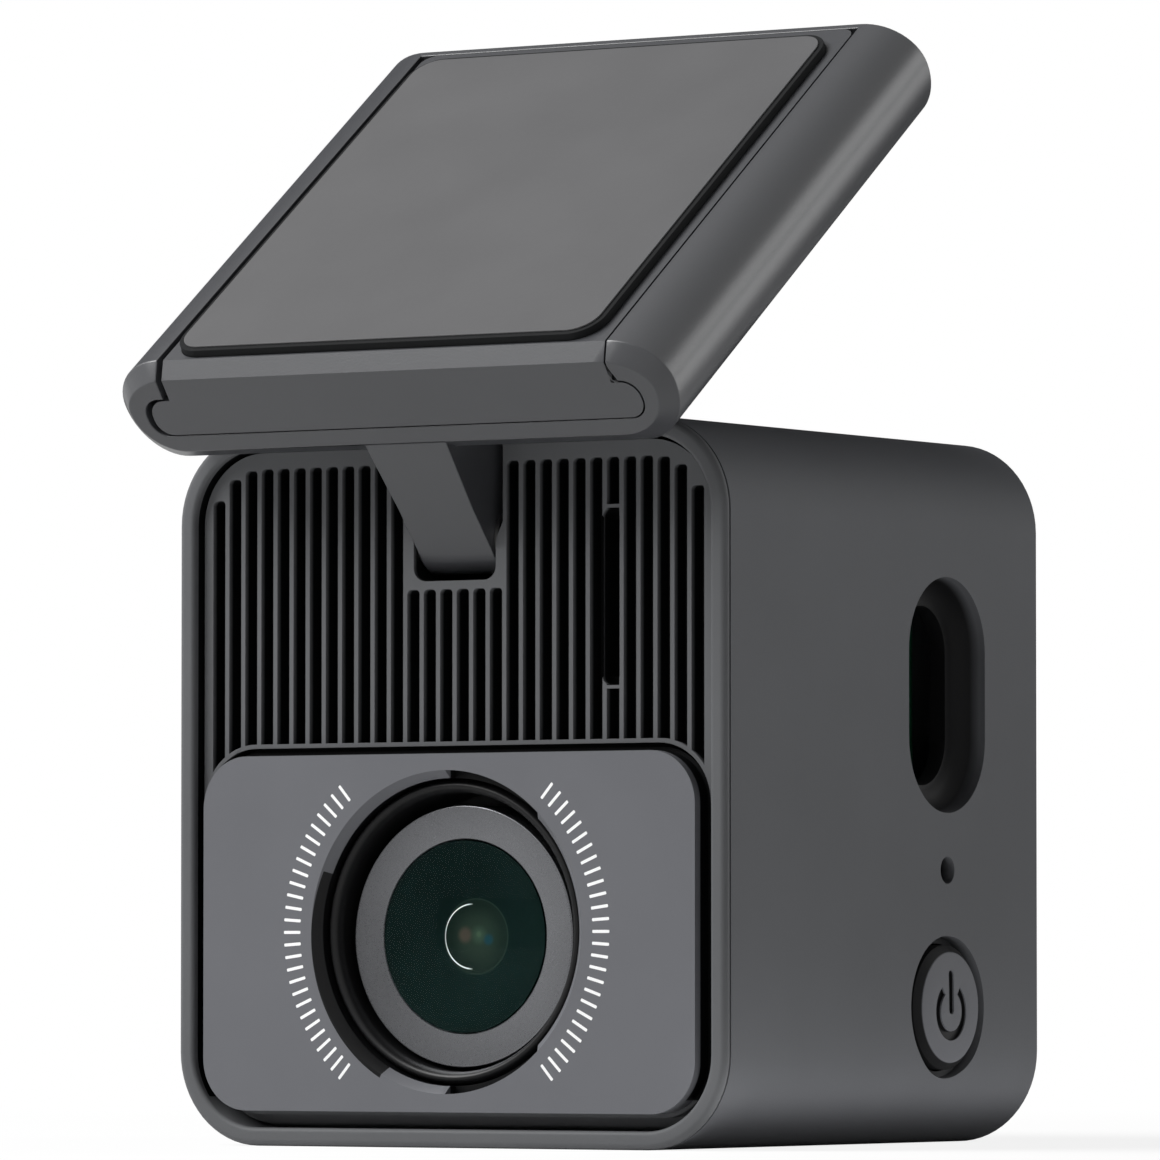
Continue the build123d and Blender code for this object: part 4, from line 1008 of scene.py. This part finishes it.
# The mount head has its own axes: along its length, and out of its top
ALONG = Vector((0, math.cos(TILT), math.sin(TILT)))
OUT = Vector((0, -math.sin(TILT), math.cos(TILT)))
HEAD_THICKNESS, HEAD_LENGTH, HEAD_WIDTH = 7.46, 39.96, CARRIER_HIGH.x - CARRIER_LOW.x
FOAM_PROUD, FILM_THICKNESS = 0.5, 0.12
FILM_WIDTH, FILM_LENGTH, FILM_CORNER, FILM_MIDDLE = 32.1, 35.96, 1.75, 19.48
HEAD_CORNER = PAD_PLACE - OUT * (HEAD_THICKNESS + FOAM_PROUD + FILM_THICKNESS) - ALONG * FILM_MIDDLE
# The slide plate's neck and foot as half widths, and how far it stands to one side
NECK, FOOT, SHIFT = 17.1, 18.9, 0.2


def head_point(x, s, n):
    """A point of the mount head: across, along its length and out of its flat base."""
    return HEAD_CORNER + Vector((x, 0, 0)) + ALONG * s + OUT * n


def head_solid(name, loop, low, high):
    """A solid pushed out of the mount head's base from a flat outline, between two heights."""
    return lofted(name, [[head_point(x, s, n) for x, s in loop] for n in (low, high)])


def head_loop(drawn_in, s):
    """The head's rounded section, drawn in by some amount."""
    segments = 14
    half, top, low = HEAD_WIDTH / 2 - drawn_in, HEAD_THICKNESS - drawn_in, drawn_in
    lower, upper, widest = 3.55, 3.95, HEAD_THICKNESS - 3.36
    right = arc((half - lower, widest), lower, -90, 90, segments, rise=widest - low)
    right += arc((half - upper, widest), upper, 0, 90, segments, rise=top - widest)
    return [head_point(x, s, n) for x, n in mirrored(right)]


def head_form(name):
    """The head's outer form, from which the carrier and the slide plate are cut."""
    chamfer, rear = 0.96, 0.25
    sections = ((chamfer, 0), (0, chamfer), (0, HEAD_LENGTH - rear), (rear, HEAD_LENGTH))
    return lofted(name, [head_loop(drawn_in, s) for drawn_in, s in sections])


def slide_solid(name, side, play, length, top, start=0.0, shift=0.0):
    """The slide plate's section, or its channel with a gap all round, as a solid."""
    neck, wide, low, high, corner = NECK + side, FOOT + side, 2.27 - play, 4.9 + play, 1.2 + play
    right = [(neck, top), (neck, high)]
    right += arc((wide - corner, high - corner), corner, 90, -90, 8)
    right += arc((wide - corner, low + corner), corner, 0, -90, 8)
    return lofted(name, [[head_point(x + shift, s, n) for x, n in mirrored(right)] for s in (start, length)])


def film_solid(name, margin, low, high):
    """A sheet in the film's outline, grown by a margin, between two heights on the mount head."""
    width, length, corner = FILM_WIDTH + 2 * margin, FILM_LENGTH + 2 * margin, FILM_CORNER + margin
    return head_solid(name, rounded_loop(width, length, corner, (0, FILM_MIDDLE), 10), low, high)


class DASHCAM_OT_mount(bpy.types.Operator):
    """Make the mount's carrier, with the arm moulded on, and the slide plate"""

    bl_idname = "dashcam.mount"
    bl_label = "Mount"

    def execute(self, context):
        end, play, satin = HEAD_LENGTH - 0.76, 0.1, mount_abs()
        carrier = head_form("carrier_shell")
        combined(carrier, [slide_solid("channel", 0.3, play, end, 12, -2)])
        combined(carrier, [self.arm()], "UNION")
        finished(carrier, 0.08, 30, 3)
        dress(carrier, "mount_head", "mount_abs", satin, "mount_carrier")
        plate = slide_solid("slide_shell", 0, 0, end - play, HEAD_THICKNESS, shift=SHIFT)
        combined(plate, [self.corner_tool(sign, end - play) for sign in (-1, 1)])
        combined(plate, [head_form("form")], "INTERSECT")
        combined(plate, [film_solid("pocket", 0.4, HEAD_THICKNESS - 0.5, HEAD_THICKNESS + 1)])
        finished(plate, 0.08, 30, 3)
        dress(plate, "windscreen_plate", "slide_abs", satin, "slide_plate")
        return {"FINISHED"}

    def corner_tool(self, sign, length):
        """Rounds one rear corner of the slide plate's neck."""
        radius = 1.0
        right = [(NECK + 1, length + 1), (NECK + 1, length - radius)]
        right += arc((NECK - radius, length - radius), radius, 0, 90, 8) + [(NECK - radius, length + 1)]
        return head_solid("corner", [(sign * x + SHIFT, s) for x, s in right], 5.2, 9)

    def arm(self):
        """The flat arm that runs down to its rounded barrel in the body's notch."""
        half, radius, root, sink = 2.87, 2.2, 5.8, 1.4
        rel = PIVOT - HEAD_CORNER
        s0, n0 = rel.dot(ALONG), rel.dot(OUT)
        lean = math.degrees(math.atan2(s0 - radius, sink - n0))
        barrel = arc((s0, n0), radius, 180 - lean, 180 + 2 * lean, 24)
        loop = [(0.0, sink)] + barrel + [(root, sink)]
        piece = lofted("arm", [[head_point(x, s, n) for s, n in loop] for x in (-4, 4)])
        # Each side leans out a little above the barrel
        straight, rise, draft = PIVOT.z + 1.9, 20, math.radians(4)
        right = [(half, PIVOT.z - 10), (half, straight), (half + rise * math.tan(draft), straight + rise)]
        return combined(piece, [front_solid("taper", mirrored(right), -30, 30)], "INTERSECT")


class DASHCAM_OT_pad(bpy.types.Operator):
    """Make the foam pad and the film on it"""

    bl_idname = "dashcam.pad"
    bl_label = "Pad"

    def execute(self, context):
        top = HEAD_THICKNESS + FOAM_PROUD
        foam = film_solid("foam_sheet", 0.35, HEAD_THICKNESS - 0.5, top)
        finished(foam, 0.06, 40, 2)
        rubber = plain("foam_acrylic", "#141516", 0.8, 0, 0.1, 0.02, 1.25)
        dress(foam, "windscreen_plate", "foam_acrylic", rubber, "foam_pad")
        film = film_solid("film_sheet", 0, top, top + FILM_THICKNESS)
        finished(film, 0.04, 40, 3)
        satin = plain("film_polyester", "#606061", 0.5, 0, 0.5, 0.001, 1.2)
        dress(film, "windscreen_plate", "film_polyester", satin, "pad_film")
        return {"FINISHED"}


class DASHCAM_OT_inner_parts(bpy.types.Operator):
    """Finish the boards, the port, the hinge and the screws"""

    bl_idname = "dashcam.inner_parts"
    bl_label = "Inner parts"

    def execute(self, context):
        dress_nodes(solder_mask(), "sensor_board", "main_board", "card_board")
        dress_nodes(
            plain("moulded_black", "#0C0C0D", 0.5), "lens_holder", "image_sensor", "usb_tongue", "board_header",
            "switch_body", "processor", "speaker",
        )
        dress_nodes(plain("port_dark", "#1B1B1C", 0.4, 1.0), "usb_shell")
        dress_nodes(
            plain("nickel_plate", "#8A8A88", 0.3, 1.0), "card_socket", "microphone", "heat_spreader", "hinge_pin",
            "hinge_washers",
        )
        dress_nodes(
            plain("black_zinc", "#18191A", 0.4, 0.8), "rear_cover_screws", "main_board_screws",
            "sensor_board_screws", "bracket_screws", "hinge_bracket",
        )
        dress_nodes(plain("capacitor_sleeve", "#14182E", 0.3), "backup_capacitors")
        dress_nodes(plain("thermal_silicone", "#7C8894", 0.8), "thermal_pad")
        dress_nodes(plain("plunger_acetal", "#8A1F1C", 0.4), "switch_plunger")
        return {"FINISHED"}


# ---------------------------------------------------------------- stage


def aimed(name, data, centre, azimuth=0, elevation=0, distance=0):
    """Stands a lamp or a camera off from a point, in a direction given in degrees, and turns it to the point."""
    azimuth, elevation = math.radians(azimuth), math.radians(elevation)
    level = math.cos(elevation)
    back = Vector((math.sin(azimuth) * level, -math.cos(azimuth) * level, math.sin(elevation)))
    made = bpy.data.objects.new(name, data)
    made.location = (Vector(centre) + back * distance) * MM
    made.rotation_mode = "QUATERNION"
    made.rotation_quaternion = back.to_track_quat("Z", "Y")
    bpy.context.scene.collection.objects.link(made)
    return made


def area_lamp(name, width, height, power):
    """A rectangular lamp."""
    lamp = bpy.data.lights.new(name, "AREA")
    lamp.shape = "RECTANGLE"
    lamp.size, lamp.size_y, lamp.energy = width * MM, height * MM, power
    return lamp


class DASHCAM_OT_stage(bpy.types.Operator):
    """Make the floor, the lights, the world and the camera"""

    bl_idname = "dashcam.stage"
    bl_label = "Stage"

    def execute(self, context):
        self.floor()
        self.world()
        self.lights()
        self.flags()
        self.camera()
        context.scene.view_settings.view_transform = "Standard"
        return {"FINISHED"}

    def floor(self):
        """A pale floor that is white wherever it is seen directly, save for the soft shadow close by."""
        far = 3000
        corners = [(-far, -far, 0), (far, -far, 0), (far, far, 0), (-far, far, 0)]
        floor = new_object("floor", corners, [(0, 1, 2, 3)])
        material = bpy.data.materials.new("pale_floor")
        tree = emptied_tree(material)
        matte = add_node(tree, "ShaderNodeBsdfDiffuse", {"Color": linear("#F4F4F4")})
        glow = add_node(tree, "ShaderNodeEmission", {"Color": linear("#FFFFFF"), "Strength": 1.0})
        away = vector_math(tree, "LENGTH", object_place(tree))
        cover = ramped(tree, away, 40 * MM, 160 * MM, low=0.86)
        clear = ramped(tree, away, 60 * MM, 160 * MM)
        calc = partial(field_math, tree)
        ray = add_node(tree, "ShaderNodeLightPath").outputs
        bounced = calc("MAXIMUM", ray["Is Glossy Ray"], ray["Is Transmission Ray"])
        share = calc(
            "MAXIMUM", calc("MULTIPLY", ray["Is Camera Ray"], cover), calc("MULTIPLY", bounced, clear)
        )
        add_node(tree, "ShaderNodeOutputMaterial", {"Surface": layered(tree, share, matte, glow)})
        floor.data.materials.append(material)

    def world(self):
        """White to camera, glossy and transmission rays, and a weak light on everything else."""
        world = bpy.data.worlds.new("studio")
        bpy.context.scene.world = world
        tree = emptied_tree(world)
        ambient, white = (
            add_node(tree, "ShaderNodeBackground", {"Color": linear("#FFFFFF"), "Strength": strength})
            for strength in (0.05, 1.0)
        )
        ray = add_node(tree, "ShaderNodeLightPath").outputs
        seen = field_math(tree, "MAXIMUM", ray["Is Camera Ray"], ray["Is Glossy Ray"])
        seen = field_math(tree, "MAXIMUM", seen, ray["Is Transmission Ray"])
        add_node(tree, "ShaderNodeOutputWorld", {"Surface": layered(tree, seen, ambient, white)})

    def lights(self):
        """A large soft key from the left front, two weak ones from the right rear, and one from below."""
        for name, azimuth, elevation, width, height, power in (
            ("key", -48, 44, 420, 420, 7.2), ("side", 140, 3, 380, 200, 0.6), ("rim", 133, 24, 300, 240, 0.72),
        ):
            aimed(name, area_lamp(name, width, height, power), (0, 0, 30), azimuth, elevation, 700)
        # Light that comes up from the floor right of the object, onto its lower edge
        bounce = aimed("bounce", area_lamp("bounce", 6, 60, 0.0028), (25.5, 5, 0.5))
        bounce.rotation_quaternion = (0, 1, 0, 0)
        bounce.visible_camera = bounce.visible_glossy = False

    def flags(self):
        """Black cards out of the camera's sight: one behind, for dark upper edges, and one at the left front."""
        material = new_material("black_card", Base_Color=linear("#050505"), Roughness=1.0, IOR=1.0)[0]
        for name, corners in (
            ("flag_behind", [(-420, 260, 1), (110, 300, 1), (90, 160, 420), (-380, 120, 420)]),
            ("flag_front", [(-190, -240, 1), (30, -300, 1), (30, -300, 60), (-190, -240, 60)]),
        ):
            card = new_object(name, corners, [(0, 1, 2, 3)])
            card.visible_camera = False
            card.data.materials.append(material)

    def camera(self):
        """A long lens from the front right, slightly below the middle of the object."""
        lens = bpy.data.cameras.new("camera")
        lens.lens, lens.sensor_width = 284.6, 36
        lens.clip_start, lens.clip_end = 0.01, 50
        bpy.context.scene.camera = aimed("camera", lens, (10.28, FRONT, 36.56), 32.78, -2.48, 589.5)


class DASHCAM_PT_panel(bpy.types.Panel):
    """Buttons that make the dash camera's pieces"""

    bl_idname = "DASHCAM_PT_panel"
    bl_label = "Dash camera"
    bl_space_type = "VIEW_3D"
    bl_region_type = "UI"
    bl_category = "Dash camera"

    def draw(self, context):
        for operator in OPERATORS:
            self.layout.operator(operator.bl_idname)


OPERATORS = (
    DASHCAM_OT_housing, DASHCAM_OT_grille, DASHCAM_OT_lens_plate, DASHCAM_OT_lens, DASHCAM_OT_button,
    DASHCAM_OT_mount, DASHCAM_OT_pad, DASHCAM_OT_inner_parts, DASHCAM_OT_stage,
)
CLASSES = (BodySizes, GrilleSizes, ScaleSizes) + OPERATORS + (DASHCAM_PT_panel,)


def register():
    for item in CLASSES:
        bpy.utils.register_class(item)
    bpy.types.Scene.dash_body = PointerProperty(type=BodySizes)
    bpy.types.Scene.dash_grille = PointerProperty(type=GrilleSizes)
    bpy.types.Scene.dash_scale = PointerProperty(type=ScaleSizes)


def unregister():
    del bpy.types.Scene.dash_body
    del bpy.types.Scene.dash_grille
    del bpy.types.Scene.dash_scale
    for item in reversed(CLASSES):
        bpy.utils.unregister_class(item)


def main():
    register()
    for operator in OPERATORS:
        group, name = operator.bl_idname.split(".")
        getattr(getattr(bpy.ops, group), name)()


if __name__ == "__main__":
    main()
